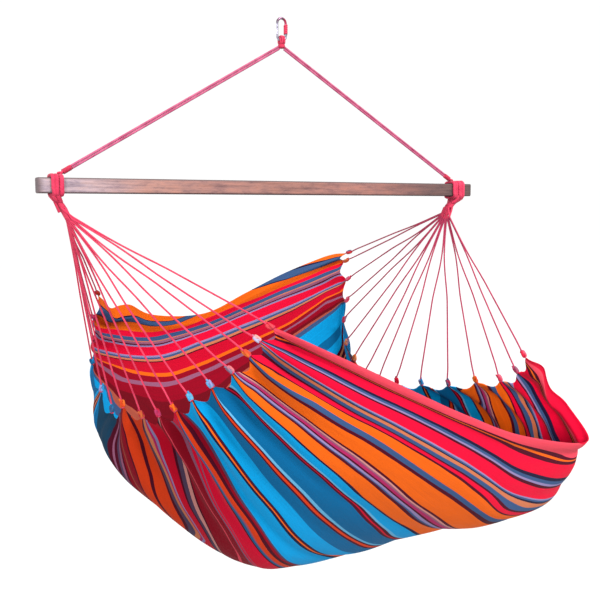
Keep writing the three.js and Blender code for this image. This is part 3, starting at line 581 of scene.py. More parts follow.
def wood_material():
    graph = Graph("stained_wood")
    place = graph.object_place()
    grain = graph.noise(place, 3.0, 6.0, 0.62, stretch=(2.2, 60.0, 60.0))
    figure = graph.noise(place, 1.8, 5.0, 0.7, stretch=(11.0, 40.0, 40.0))
    pores = graph.noise(place, 3.0, stretch=(16.0, 420.0, 420.0))
    x, _, z = graph.parts(place)
    half = BAR_LENGTH / 2 * MM
    colour = graph.ramp(graph.range(x, -half, half), [(at, linear(tone)) for at, tone in WOOD_AND_REFLECTION_TONES])
    colour = graph.mottled(colour, grain, (0.28, (0.58, 0.54, 0.56)), (0.5, (1.0, 1.0, 1.0)),
                           (0.75, (1.22, 1.18, 1.16)))
    colour = graph.mottled(colour, figure, (0.34, (0.68, 0.66, 0.74)), (0.48, (1.0, 0.98, 0.98)),
                           (0.66, (1.22, 1.10, 1.00)))
    colour = graph.mix(graph.range(pores, 0.60, 0.72, 0.0, 0.7), colour, linear("3A2826"))
    # darker along the arrises and round the ends: partly dirt, partly painted shade on the lower bevel and
    # the end faces
    height = graph.math("ABSOLUTE", graph.math("ADD", z, BAR_DROP * MM))
    arris_stain_and_shade = graph.range(height, 0.0150, 0.0185, 0.0, 0.95)
    end = graph.range(graph.math("ABSOLUTE", x), 0.684, 0.6975, 0.0, 0.75)
    colour = graph.mix(graph.math("MAXIMUM", arris_stain_and_shade, end, clamp=True), colour, linear("3C2C2C"))
    normal = graph.bump(pores, 0.3, 0.0005, Normal=graph.bump(grain, 0.25, 0.0012))
    return graph.finish(colour, graph.range(grain, 0.2, 0.8, 0.5, 0.7), normal, {"Specular IOR Level": 0.35})


def steel_material():
    graph = Graph("snap_link_steel")
    place = graph.object_place()
    x, _, z = graph.parts(place)
    scratch = graph.noise(place, 4.0, 4.0, stretch=(60.0, 60.0, 900.0))
    colour = graph.ramp(graph.noise(place, 90.0), [(0.3, linear("7C7888")), (0.7, linear("B4B0C0"))])
    # painted shade and reflection: the top bow is dark maroon, as red rope in shadow, and its right is
    # painted red as the rope's reflection
    colour = graph.mix(graph.range(z, -0.012, -0.004, 0.0, 0.85), colour, linear("4A2034"))
    painted_rope_reflection = graph.math("MULTIPLY", graph.range(x, 0.004, 0.010), graph.range(z, -0.016, -0.011, 0.0, 0.9),
                        clamp=True)
    colour = graph.mix(painted_rope_reflection, colour, linear("B0284C"))
    return graph.finish(colour, graph.range(scratch, 0.3, 0.7, 0.22, 0.42), graph.bump(scratch, 0.12, 0.0003),
                        {"Metallic": 1.0})


ROPE_GAIN = 0.50
COTTON = cotton_material()
ROPE = rope_material("cotton_rope", "FC3E66", "D81E50")
LEG_ROPE = rope_material("faded_rope", "E06C94", "B83E6C")
TUFT = tuft_material()
WOOD = wood_material()
STEEL = steel_material()

# ---- the cloth

FLAT_PER_KNOT, FLAT_LENGTH = 97.0, 1620.0
# How far in from the knots the tufts' tips and the scallops' bottoms lie, and a tip's share of a scallop
TIP, SCALLOP, TUFT_SHARE = 19.0, 40.0, 0.08
COLUMNS_PER_KNOT, ROWS, ROW_EASE = 16, 231, 0.35


def cloth_grid():
    """Shares of the length and lines, with rows closer together toward the ends."""
    lines = np.linspace(1, LAST, (LAST - 1) * COLUMNS_PER_KNOT + 1)
    t = np.linspace(0, 1, ROWS)
    return np.meshgrid(t - ROW_EASE * np.sin(2 * np.pi * t) / (2 * np.pi), lines, indexing="ij")


# How far the stripes wander off the seat's own lines, with dark reds laid inside the seat as painted
# shade: at a share of the length, each line counted in knots and, after it, the stripe that lies on it
STRIPE_DRIFT_AND_SHADE = [
    (0.00, [1, 1,  1.35, 1.28,  1.5, 1.42,  1.9, 1.76,  2.2, 2.2,  2.4, 2.48,  2.95, 2.64,  3.3, 3.05,
        3.65, 3.42,  3.92, 3.72,  4.15, 3.98,  4.6, 4.42,  5, 4.88,  5.22, 5.07,  5.55, 5.4,  5.88, 5.88,
        6.6, 6.66,  6.87, 6.99,  7.02, 7.17,  7.45, 7.78,  7.9, 8.07,  8.1, 8.53,  8.7, 8.92,  8.85, 9.04,
        9.1, 9.28,  9.72, 9.64,  10.08, 9.92,  10.2, 10.22,  10.4, 10.7,  10.6, 10.8,  11.9, 10.96,
        12, 12.05,  12.2, 12.4,  12.3, 12.64,  12.9, 12.79,  13.2, 13.1,  13.4, 13.28,  13.7, 13.6,
        16, 16]),
    (0.07, [1, 1,  1.26, 1.28,  1.3, 1.45,  1.83, 1.76,  2.18, 2.2,  2.45, 2.48,  2.82, 2.64,  3.2, 3.05,
        3.52, 3.42,  3.8, 3.72,  4.03, 3.98,  4.42, 4.42,  4.92, 4.88,  5.1, 5.07,  5.5, 5.4,  5.86, 5.88,
        6.64, 6.66,  6.92, 6.99,  7.13, 7.17,  7.6, 7.78,  7.97, 8.07,  8.32, 8.53,  8.8, 8.92,  8.95, 9.04,
        9.22, 9.28,  9.62, 9.64,  9.88, 9.92,  10.15, 10.22,  10.72, 10.74,  11.9, 10.96,  12, 12.05,
        12.25, 12.4,  12.4, 12.64,  12.95, 12.79,  13.15, 13.1,  13.3, 13.26,  13.62, 13.56,  16, 16]),
    (0.16, [1, 1,  1.26, 1.28,  1.3, 1.45,  1.74, 1.76,  2.2, 2.2,  2.42, 2.48,  2.66, 2.64,  2.72, 2.8,
        3.1, 3.05,  3.4, 3.4,  3.7, 3.72,  3.98, 3.98,  4.38, 4.42,  4.88, 4.88,  5.04, 5.07,  5.42, 5.4,
        5.88, 5.88,  6.64, 6.66,  6.9, 6.99,  7, 7.08,  7.12, 7.13,  7.18, 7.18,  7.74, 7.78,  8.03, 8.07,
        8.56, 8.53,  8.96, 8.92,  9.08, 9.04,  9.3, 9.28,  9.68, 9.64,  9.98, 9.92,  10.28, 10.22,
        10.85, 10.74,  11.6, 10.97,  11.7, 11.65,  12.2, 11.98,  12.5, 13.25,  13, 13.31,  13.2, 13.38,
        13.3, 13.46,  13.45, 13.56,  13.55, 13.62,  13.85, 13.85,  16, 16]),
    (0.28, [1, 1,  1.29, 1.28,  1.33, 1.45,  1.76, 1.76,  2.24, 2.2,  2.46, 2.48,  2.58, 2.64,  2.82, 2.84,
        3.06, 3.05,  3.46, 3.4,  3.76, 3.72,  4.08, 3.98,  4.4, 4.42,  4.92, 4.88,  5.12, 5.07,  5.46, 5.4,
        5.88, 5.88,  6.7, 6.66,  6.93, 6.99,  7.04, 7.08,  7.36, 7.13,  7.44, 7.18,  7.9, 7.78,  8.15, 8.07,
        8.88, 8.53,  9.22, 8.92,  9.38, 9.04,  9.64, 9.28,  10, 9.64,  10.3, 9.92,  10.6, 10.22,
        11.1, 10.74,  11.5, 11.65,  12, 12.4,  12.2, 13.25,  12.9, 13.3,  13.18, 13.39,  13.3, 13.46,
        13.4, 13.56,  13.46, 13.62,  13.88, 13.88,  14.1, 14.03,  14.58, 14.38,  14.78, 14.52,  15, 14.64,
        15.2, 14.82,  15.4, 15.2,  15.62, 15.5,  16, 16]),
    (0.37, [1, 1,  1.27, 1.28,  1.31, 1.45,  1.74, 1.76,  2.3, 2.2,  2.52, 2.48,  2.66, 2.64,  2.97, 2.84,
        3.2, 3.05,  3.6, 3.4,  3.86, 3.72,  4.27, 3.98,  4.52, 4.42,  5.08, 4.88,  5.26, 5.07,  5.68, 5.4,
        6.12, 5.88,  7, 6.62,  7.18, 6.9,  7.32, 7.05,  7.5, 7.13,  7.56, 7.18,  8.3, 7.7,  9.2, 8.2,
        10, 8.53,  10.4, 8.9,  10.7, 9.04,  11, 9.5,  11.4, 10.4,  11.8, 11.65,  12.1, 12.4,  12.25, 13.25,
        13, 13.3,  13.3, 13.39,  13.4, 13.46,  13.48, 13.57,  13.54, 13.62,  13.88, 13.88,  14.1, 14.03,
        14.5, 14.38,  14.68, 14.52,  14.95, 14.66,  15.15, 14.74,  15.75, 14.92,  16, 15.1]),
    (0.45, [1, 1,  1.23, 1.28,  1.27, 1.45,  1.7, 1.76,  2.26, 2.2,  2.5, 2.48,  2.62, 2.64,  3.02, 2.84,
        3.22, 3.05,  3.74, 3.4,  3.98, 3.72,  4.4, 3.98,  4.75, 4.42,  5.28, 4.88,  5.5, 5.07,  5.95, 5.4,
        6.4, 5.88,  7.3, 6.62,  8.5, 7.4,  10, 8.5,  11.2, 10.2,  12, 12,  12.4, 12.62,  12.6, 13.25,
        13, 13.3,  13.36, 13.4,  13.44, 13.46,  13.53, 13.57,  13.58, 13.62,  13.86, 13.88,  14.05, 14.03,
        14.43, 14.38,  14.6, 14.52,  14.85, 14.7,  15.55, 14.92,  16, 15.15]),
    (0.57, [1, 1,  1.13, 1.28,  1.25, 1.45,  1.7, 1.76,  2.22, 2.2,  2.42, 2.48,  2.58, 2.64,  3.05, 2.84,
        3.28, 3.05,  4, 3.4,  4.35, 3.72,  4.9, 3.98,  5.25, 4.42,  6, 5.07,  7.2, 5.9,  8.5, 7.2,  10, 8.8,
        12.2, 12,  13.1, 13.1,  13.6, 13.59,  14, 14.03,  14.36, 14.38,  14.52, 14.52,  14.8, 14.72,
        15, 14.92,  15.8, 15.3,  16, 15.4]),
    (0.70, [1, 1.1,  1.3, 1.28,  1.62, 1.45,  2.2, 1.76,  2.75, 2.2,  3.1, 2.64,  3.6, 2.9,  4.1, 3.2,
        4.9, 3.6,  5.6, 4.2,  6.6, 5.07,  7.6, 6,  8.6, 7.2,  10, 8.8,  12.2, 12,  13.2, 13.1,  13.45, 13.27,
        13.62, 13.59,  14, 14.03,  14.34, 14.38,  14.5, 14.52,  14.82, 14.72,  15.02, 14.92,  15.45, 15.3,
        15.9, 15.56,  16, 15.6]),
    (0.80, [1, 0.8,  1.45, 0.97,  1.6, 1.28,  1.78, 1.45,  2.25, 1.66,  2.5, 1.85,  2.95, 2.15,  3.3, 2.5,
        3.55, 2.66,  3.8, 2.84,  4.1, 3.05,  4.75, 3.4,  5.15, 3.72,  5.45, 3.98,  6.3, 4.9,  7.3, 6,
        8.3, 7.2,  10, 9.2,  12.2, 12.1,  13.25, 13.12,  13.46, 13.27,  13.65, 13.5,  14, 13.97,
        14.32, 14.38,  14.5, 14.52,  14.83, 14.72,  15.06, 14.92,  15.36, 15.3,  15.8, 15.58,  16, 15.65]),
    (0.86, [1, 0.6,  1.5, 0.98,  1.57, 1.28,  1.68, 1.45,  2.4, 1.66,  2.86, 1.8,  2.9, 1.86,  3.25, 2.12,
        3.38, 2.18,  3.42, 2.23,  3.5, 2.34,  3.6, 2.47,  3.64, 2.52,  3.9, 2.62,  3.95, 2.66,  4.15, 2.84,
        4.3, 2.97,  4.36, 3.05,  4.8, 3.4,  4.84, 3.44,  5.02, 3.68,  5.06, 3.74,  5.3, 3.98,  5.36, 4.02,
        5.7, 4.3,  5.8, 4.42,  6.4, 4.92,  7.3, 6,  8.2, 7.2,  10, 9.4,  12.2, 12.2,  13.3, 13.15,
        13.46, 13.27,  13.68, 13.43,  13.8, 13.59,  14, 13.9,  14.3, 14.38,  14.5, 14.52,  14.84, 14.72,
        15.1, 14.92,  15.3, 15.3,  15.75, 15.6,  16, 15.7]),
    (0.93, [1, 0.6,  1.52, 0.98,  1.6, 1.28,  1.72, 1.45,  2.2, 1.66,  2.64, 1.8,  2.7, 1.86,  2.92, 2.12,
        3.05, 2.18,  3.14, 2.23,  3.2, 2.34,  3.3, 2.47,  3.36, 2.52,  3.62, 2.62,  3.68, 2.66,  3.88, 2.84,
        4.06, 2.97,  4.12, 3.05,  4.5, 3.4,  4.55, 3.44,  4.78, 3.68,  4.84, 3.74,  5.14, 3.98,  5.2, 4.02,
        5.5, 4.27,  5.6, 4.42,  6.2, 4.92,  7, 6,  8, 7.2,  10, 9.7,  12.2, 12.2,  13.3, 13.15,
        13.46, 13.27,  14, 13.95,  14.4, 14.4,  15, 14.9,  15.3, 15.3,  16, 15.8]),
    (1.00, [1, 0.6,  1.2, 0.98,  1.26, 1.28,  1.34, 1.45,  1.95, 1.66,  2.3, 1.8,  2.36, 1.86,  2.5, 2.12,
        2.62, 2.18,  2.7, 2.3,  2.9, 2.47,  3, 2.55,  3.2, 2.64,  3.3, 2.75,  3.5, 2.9,  3.6, 3.05,  4, 3.4,
        4.1, 3.5,  4.22, 3.74,  4.5, 3.98,  4.7, 4.05,  5, 4.3,  5.1, 4.42,  5.6, 4.92,  6, 5.9,  7, 7,
        16, 16]),
]


def drifted(share, line):
    """The stripe that lies on a line of the seat."""
    table = np.array([np.interp(line[0], row[::2], row[1::2]) for _, row in STRIPE_DRIFT_AND_SHADE])
    table[1:-1] = 0.1 * table[:-2] + 0.8 * table[1:-1] + 0.1 * table[2:]
    at = [row_share for row_share, _ in STRIPE_DRIFT_AND_SHADE]
    out = np.stack([np.interp(share[:, 0], at, column) for column in table.T], axis=1)
    # soften the joins between the shares that the table names
    kernel = np.hanning(13)
    padded = np.pad(out, ((6, 6), (0, 0)), "edge")
    return np.stack([np.convolve(column, kernel / kernel.sum(), "valid") for column in padded.T], axis=1)


def bell(value, middle, width):
    return np.exp(-((value - middle) / width) ** 2)


# Over what length threads bunch at a knot, and how wide the hems and the rolled ends are
BUNCH_LENGTH, HEM_WIDTH, ROLL_WIDTH = 95.0, 24.0, 9.0
# Depths of the pleats at the knots, the folds that run on from them, and finer folds and gathers
PLEAT, FOLD, FINE_FOLD, GATHER = 11.0, 6.4, 1.1, 1.6
# Where a pleat is deepest, as a share of the length, and how far the other three reach from an end
PLEAT_CREST, FOLD_REACH, FINE_REACH, GATHER_REACH = 0.06, 380.0, 260.0, 60.0
# Creases pressed in along the front: the line, the width in knots and the depth
CREASES = ((1.36, 0.13, 9.0), (4.5, 0.16, 5.0), (6.5, 0.16, 5.0))


def folds_of(share, line, off, held):
    """How far the cloth lies off its smooth surface."""
    from_end = np.minimum(share, 1 - share) * FLAT_LENGTH
    f = np.minimum(share, 1 - share) / PLEAT_CREST
    # the left border is nearly flat
    border = bell(line, 12.0, 1.7) * np.clip((0.3 - share) / 0.1, 0, 1)
    pleat = PLEAT * (1 - 0.85 * border) * f * np.exp(1 - f) * np.cos(2 * np.pi * held)
    fade = np.clip(from_end / 140.0, 0, 1)
    phase = 0.9 * np.sin(2 * np.pi * share * 1.3 + line * 0.7)
    ridges = np.abs(np.cos(np.pi * line + 0.3 * phase)) ** 0.7 * 2 - 1.2
    folds = FOLD * fade * np.exp(-from_end / FOLD_REACH) * ridges * (1 - 0.6 * border)
    fine = FINE_FOLD * np.sin(2 * np.pi * (3.1 * line + 0.5 * np.sin(5 * share + 0.9 * line)))
    folds = folds + fine * fade * np.exp(-from_end / FINE_REACH)
    waves = (1.6 * np.sin(2 * np.pi * (0.37 * line + 0.8 * share))
             + 1.2 * np.sin(2 * np.pi * (0.83 * line - 1.1 * share) + 1.3)) * np.sin(np.pi * share) ** 0.7
    crease = sum(depth * bell(line, at, width) for at, width, depth in CREASES) * np.sin(np.pi * share) ** 0.8
    neck = np.clip(1 - from_end / GATHER_REACH, 0, 1) ** 2
    gathers = GATHER * neck * np.sin(2 * np.pi * 4 * line) * (1 - np.abs(off) ** 4)
    return -pleat + crease - folds + waves + gathers


def hem_swings(share, line):
    """How the hems fall and swing beside their corners."""
    back = np.clip((line - 14.4) / 1.4, 0, 1) ** 1.5 * (14.0 * bell(share, 0.165, 0.028)
                                                        - 20.0 * bell(share, 0.095, 0.026))
    front = np.clip(2.3 - line, 0, 1) * (15.0 * bell(share, 0.966, 0.018) - 12.0 * bell(share, 0.918, 0.022))
    # the left side hangs a little out beyond its knots
    slack = 8.0 * bell(share, 0.055, 0.045) * bell(line, 14.5, 0.9)
    return sum(amount[..., None] * np.array(way) for amount, way in
               ((back, (0, 0, 1)), (front, (0.75, -0.42, 0.5)), (slack, (-0.87, 0.49, 0.0))))


def cloth_middle():
    """Places of the cloth's middle face, with its material coordinates."""
    share, line = cloth_grid()
    knot = np.round(line)
    off = (line - knot) * 2
    # where each thread starts, on the scalloped edge
    edge = np.sign(off) * np.abs(off) ** 1.9
    dip = np.sin(np.pi / 2 * np.clip((np.abs(edge) - TUFT_SHARE) / (1 - TUFT_SHARE), 0, 1)) ** 1.7
    starts = [(TIP + (SCALLOP - TIP) * dip) / end_speed(end, knot + edge / 2) for end in (0, 1)]
    along = starts[0] + (1 - starts[1] - starts[0]) * share
    # threads bunch toward their knot near the ends
    from_end = np.minimum(share, 1 - share) * FLAT_LENGTH
    power = 1 + 0.9 * np.clip(1 - from_end / BUNCH_LENGTH, 0, 1) ** 1.5
    held = np.clip(knot + np.sign(off) * np.abs(off) ** power / 2, 1, LAST)
    place = smooth_seat(along, held)
    step = 0.004
    ahead = smooth_seat(np.minimum(1, along + step), held) - smooth_seat(np.maximum(0, along - step), held)
    aside = smooth_seat(along, np.minimum(LAST, held + step)) - smooth_seat(along, np.maximum(1, held - step))
    place = place + unit(np.cross(ahead, aside)) * folds_of(share, line, off, held)[..., None]
    place = place + hem_swings(share, line)
    uv = np.stack([drifted(share, line), share * FLAT_LENGTH * MM], axis=-1)
    return place, share, line, from_end, uv


def add_cloth():
    place, share, line, from_end, uv = cloth_middle()
    normal = unit(np.cross(*np.gradient(place, axis=(0, 1))))
    from_edge = np.minimum(line - 1, LAST - line) * FLAT_PER_KNOT
    hem = np.clip(1 - from_edge / HEM_WIDTH, 0, 1) ** 0.5 * np.sin(np.pi * share) ** 0.2
    roll = np.clip(1 - from_end / ROLL_WIDTH, 0, 1) ** 0.5
    half = (CLOTH_THICK + (HEM_THICK - CLOTH_THICK) * np.maximum(hem, 0) + 1.0 * roll) / 2
    points = [(place + normal * (face * half)[..., None]).reshape(-1, 3) for face in (1, -1)]
    cell = np.arange(share.size).reshape(share.shape)
    quads = np.stack([cell[:-1, :-1], cell[1:, :-1], cell[1:, 1:], cell[:-1, 1:]], axis=-1).reshape(-1, 4)
    both = np.stack([quads, quads[:, [0, 3, 2, 1]] + share.size], axis=1).reshape(-1, 4)
    rim = np.concatenate([cell[:, 0], cell[-1, 1:], cell[-2::-1, -1], cell[0, -2::-1]])
    here, after = rim[:-1], rim[1:]
    border = np.stack([after, here, here + share.size, after + share.size], axis=1)
    shape = Shape()
    shape.add(np.vstack(points), np.vstack([both, border]).tolist(), np.vstack([uv.reshape(-1, 2)] * 2))
    return shape.build("seat_sheet", "seat", "seat_cloth", [COTTON])


# ---- fan cords and their knots

LEFT_TINTS = [("FF5660", "F01840"), ("C8C4E8", "F0B0A8"), ("FF8030", "F0503A"), ("8C7A98", "F08088"),
              ("6AB8EC", "A8A4DC"), ("3CB0F0", "74BCE2"), ("E82840", "FF7420"), ("E01838", "C84070"),
              ("C82040", "E87040"), ("FF8030", "F05024"), ("2878B0", "46648E"), ("30A0E0", "A8A4DC"),
              ("1A88C8", "0C689C"), ("D83058", "A8304C"), ("C02858", "8C3A78"), ("C03020", "8A1A24")]
RIGHT_TINTS = [("F02848", "F07088"), ("D04870", "A07086"), ("E83858", "F07088"), ("FF7A28", "F05024"),
               ("46648E", "C83058"), ("A8A4DC", "1A88C8"), ("E82040", "D81034"), ("D81034", "A00A22"),
               ("F05024", "6A1030"), ("FF7A28", "D8895E"), ("A07086", "D8895E"), ("8A7A98", "D83050"),
               ("E83858", "F07088"), ("E82848", "F080A0"), ("F06030", "D8895E"), ("E83838", "46648E")]
CORD_LAY = 11.0
# How far in the knots sit on the cloth, how deep a cord runs into its knot, and at what share of
# its length a pair of cords begins to part
KNOT_SEAT, CORD_SUNK, PARTING = 20.0, 7.0, 0.12


def knot_frame(end, line):
    """A knot's way, its foot on the cloth and where its cord enters."""
    start = KNOT_SEAT / end_speed(end, float(line))
    tip = smooth_seat(abs(end - start), float(line))
    axis = unit(knot_place(end, float(line)) - tip)
    foot = tip + axis
    return axis, foot, foot + axis * (KNOT_LENGTH - KNOT_DIAMETER / 3)


def pair_middle(end, pair):
    return (knot_frame(end, 2 * pair + 1)[2] + knot_frame(end, 2 * pair + 2)[2]) / 2


def pair_beside(end, pair, direction):
    """Half a cord's width, square to the pair's way, toward its second cord."""
    spread = knot_frame(end, 2 * pair + 2)[2] - knot_frame(end, 2 * pair + 1)[2]
    return unit(spread - direction * np.dot(spread, direction)) * CORD * 0.5


def cord_start(end, pair):
    centre = FAN_CENTRES[end]
    last = PAIRS - 1
    ways = [unit((pair_middle(end, math.floor(at)) + pair_middle(end, math.ceil(at))) / 2 - centre)
            for at in (0, last / 2, last)]
    way = unit(at_shares(spline(ways, np.linspace(0, 1, 401)), pair / last))
    place = centre + way * CROWN_RADIUS
    return place, unit(pair_middle(end, pair) - place)


KNOT_STRAND, KNOT_SKIN, STUB, HITCH = 3.6, 0.6, 6.0, 2.5


def add_knot(shape, end, line, tones, seed):
    axis, foot, _ = knot_frame(end, line)
    turn = 0.8 * seed
    e1 = across(axis, (math.cos(turn), math.sin(turn), 0.3))
    e2 = np.cross(axis, e1)
    # the tuft's end, tied as a trefoil
    t = np.linspace(0, 2 * np.pi, 73)[:-1]
    flat = (KNOT_DIAMETER / 2 + KNOT_SKIN - KNOT_STRAND) / 3.0
    tall = KNOT_LENGTH / 2 - KNOT_STRAND - KNOT_SKIN
    x = flat * (np.sin(t) + 2 * np.sin(2 * t))
    y = flat * (np.cos(t) - 2 * np.cos(2 * t))
    z = KNOT_LENGTH / 2 - tall * np.sin(3 * t)
    path = foot + x[:, None] * e1 + y[:, None] * e2 + z[:, None] * axis
    path = np.vstack([path, path[:1]])
    mix = (0.5 + 0.5 * np.sin(2 * np.arange(len(path)) / len(path) * 2 * np.pi + seed))[:, None]
    one, two = [np.array(linear(tone, CLOTH_GAIN)) for tone in tones]
    tint = one + (two - one) * np.clip(mix * 1.6 - 0.5, 0, 1)
    tube(shape, path, KNOT_STRAND, 9, tint, 1, laid(4, 15.0, 0.16, seed))
    # its cut end, beside the cord
    stub = foot + axis * (KNOT_LENGTH - STUB) + e1 * 2.4
    tip = stub + axis * 9.0 + e1 * 3.6 + e2 * 0.8 * math.sin(seed)
    rope(shape, [stub, (stub + tip) / 2 + e2 * 0.6, tip], STUB, 9.0, 1.2, 10, slot=1,
         tint=one * 0.95, taper=lambda s: 1 - 0.35 * s ** 3, phase=seed)
    # the cord's hitch round its neck
    ring = coil(foot + axis * 0.4, foot + axis * 2.8, 4.4 * e1, 4.4 * e2, 2, 24)
    tube(shape, ring, HITCH / 2, 7, (0.9, 0.9, 0.95), 0, laid(3, 5.0, 0.18))


# The right fan's cords are duskier
FAN_TINTS = ((1.0, 1.0, 1.0), (0.66, 0.80, 0.95))


def add_cord(word, end, pair):
    """Two cords side by side that part toward their knots."""
    place, direction = cord_start(end, pair)
    beside = pair_beside(end, pair, direction)
    length = np.linalg.norm(pair_middle(end, pair) - place)
    shape = Shape()
    tints = (LEFT_TINTS, RIGHT_TINTS)[end]
    for leg, sign in ((0, -1), (1, 1)):
        axis, _, entry = knot_frame(end, 2 * pair + 1 + leg)
        points = []
        for share in np.linspace(0, 1, 15):
            straight = place + direction * (1 + (length - 1) * share) + beside * sign
            target = place + direction + beside * sign + (entry - place - direction) * share
            blend = min(1.0, max(0.0, (share - PARTING) / (1 - PARTING)) * 2.2)
            blend = blend * blend * (3 - 2 * blend)
            points.append(straight * (1 - blend) + target * blend)
        points[-1] = entry
        points.append(entry - axis * CORD_SUNK)
        rope(shape, points, CORD * 1.08, CORD_LAY, 1.5, 10, phase=0.7 * pair + leg, depth=0.12,
             tint=FAN_TINTS[end])
        add_knot(shape, end, 2 * pair + 1 + leg, tints[2 * pair + leg], 1.3 * (2 * pair + leg) + end)
    return shape.build(f"fan_cord_{word}_{pair + 1}", "seat", f"cord_{word}_{pair + 1}", [ROPE, TUFT])


def neck_middle(word, share, height=0.0):
    x = SIDES[word]["loop_x"]
    return np.array([x + (fan_centre(word)[0] - x) * share, 0, height])


def add_crown(word, end):
    """Sixteen cords that leave the binding, thick where they double back, and part toward their places."""
    shape = Shape()
    top = neck_middle(word, SEIZING_SWING, -CROWN_TOP - GAP)
    wide, deep = SIDES[word]["neck"]
    for pair in range(PAIRS):
        place, direction = cord_start(end, pair)
        beside = pair_beside(end, pair, direction)
        row = 2 * pair / (PAIRS - 1) - 1
        # some cross over their neighbours on the way
        swap = -1 if pair % 3 == 1 else 1
        for sign in (-1, 1):
            x = sign * swap * (wide / 2 - 5.8) + 1.5 * math.sin(pair * 2.1)
            start = top + [x, row * (deep / 2 - 3.6), 0]
            finish = place + direction * 1.2 + beside * sign
            mid = start + (finish - start) * 0.5 + [0, 0, -1.0]
            rope(shape, [start + [0, 0, 2.0], start, mid, finish], CORD, 13.0, 1.3,
                 taper=lambda u: 1 + 0.75 * np.clip(1 - u, 0, 1) ** 0.8, phase=pair + sign)
    core(shape, top + [0, 0, 1.5], top + [0, 0, -9.0], wide / 2 - 2.5, 14, 1.5, (0.75, 0.7, 0.75),
         lambda share: 1 - 0.55 * share ** 2)
    crown = shape.build(f"crown_{word}", None, f"fan_crown_{word}")
    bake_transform(crown)
    return crown


def add_seizing(word):
    shape = Shape()
    wide, deep = SIDES[word]["neck"]

    def middle(share):
        return neck_middle(word, NECK_SWING + (SEIZING_SWING - NECK_SWING) * share,
                           -CROWN_TOP + SEIZING * (1 - share))

    path = coil(middle(0.10), middle(0.90), (wide / 2 - 0.95, 0, 0), (0, deep / 2 - 0.95, 0), 5, 24)
    tube(shape, path, 1.55, 9, section=laid(3, 8.0, 0.18))
    core(shape, middle(0.02), middle(0.98), wide / 2 - 1.4, 16, 3.75)
    return shape.build(f"seizing_{word}", "bar", f"fan_seizing_{word}")


# ---- turns round the bar


def bar_round(radius, count):
    """A path round the bar's section at a distance, from below, as (y, z)."""
    w, h = BAR_DEPTH / 2 - BAR_EDGE, BAR_HEIGHT / 2 - BAR_EDGE
    below = (0.0, -BAR_HEIGHT / 2 - radius)
    out = [below]
    for y, z, first in ((w, -h, -90), (w, h, 0), (-w, h, 90), (-w, -h, 180)):
        for i in range(9):
            angle = math.radians(first + 90 * i / 8)
            out.append((y + (BAR_EDGE + radius) * math.cos(angle), z + (BAR_EDGE + radius) * math.sin(angle)))
    return at_shares(np.array(out + [below]), np.linspace(0, 1, count))


def turns_round_bar(shape, x, thick, turns, width, phase=0.0):
    """Turns of rope round the bar, pressed together so that they fill a band of a width."""
    per = 72
    under = bar_round(GAP + thick * 0.4, per + 1)
    flat = (width - 3.0) / (thick * 0.78)
    # the band under the turns is tinted darker, as painted shade between them
    tube(shape, np.insert(under, 0, x, axis=1), thick * 0.39, 16, (0.82, 0.7, 0.78),
         section=laid(2, 400.0, 0.0, 0, flat), hint=(1, 0, 0))
    t = np.arange(per * turns + 1)
    around = bar_round(GAP + thick / 2, per + 1)[t % per]
    pitch = width / turns
    # each turn lies flat and steps over to the next one underneath
    whole = t / per
    step = np.floor(whole) + np.clip((whole % 1 - 0.8) / 0.2, 0, 1)
    xs = x - (turns - 1) * pitch / 2 + np.minimum(step, turns - 1) * pitch
    rope(shape, np.column_stack([xs, around]), thick, thick * 2.6, thick / 6, 18, smooth=False, phase=phase,
         depth=0.14, flat=pitch * 1.03 / thick, hint=(1, 0, 0))


def add_bar_eye(word):
    shape = Shape()
    part = SIDES[word]
    x, direction = part["eye_x"], part["leg"]
    turns_round_bar(shape, x, EYE_THICK - 0.7, round(part["eye"] / EYE_THICK), part["eye"], 0.4)
    top = np.array([x, 0, EYE_TOP + BAR_DROP])
    root, end = top - direction * 3.0, top + direction * SPLICE_LENGTH
    square, front = np.cross(direction, [0, 1, 0]), np.array([0, 1, 0])
    # two ropes wound round each other, thinning into the legs
    for turn in (0, 1):
        path = coil(root, end, 3.4 * square, 3.4 * front, 1, 24, np.pi * turn)
        rope(shape, path, 6.8, 17.0, 1.4, phase=turn)
    # the part where a cord binds them
    low, high = [root + (end - root) * share for share in (0.34, 0.92)]
    path = coil(low, high, 6.1 * square, 6.1 * front, 9, 20)
    tube(shape, path, 1.35, 7, (0.86, 0.74, 0.8), section=laid(3, 5.0, 0.18))
    return shape.build(f"bar_eye_turns_{word}", "bar", f"bar_eye_{word}")


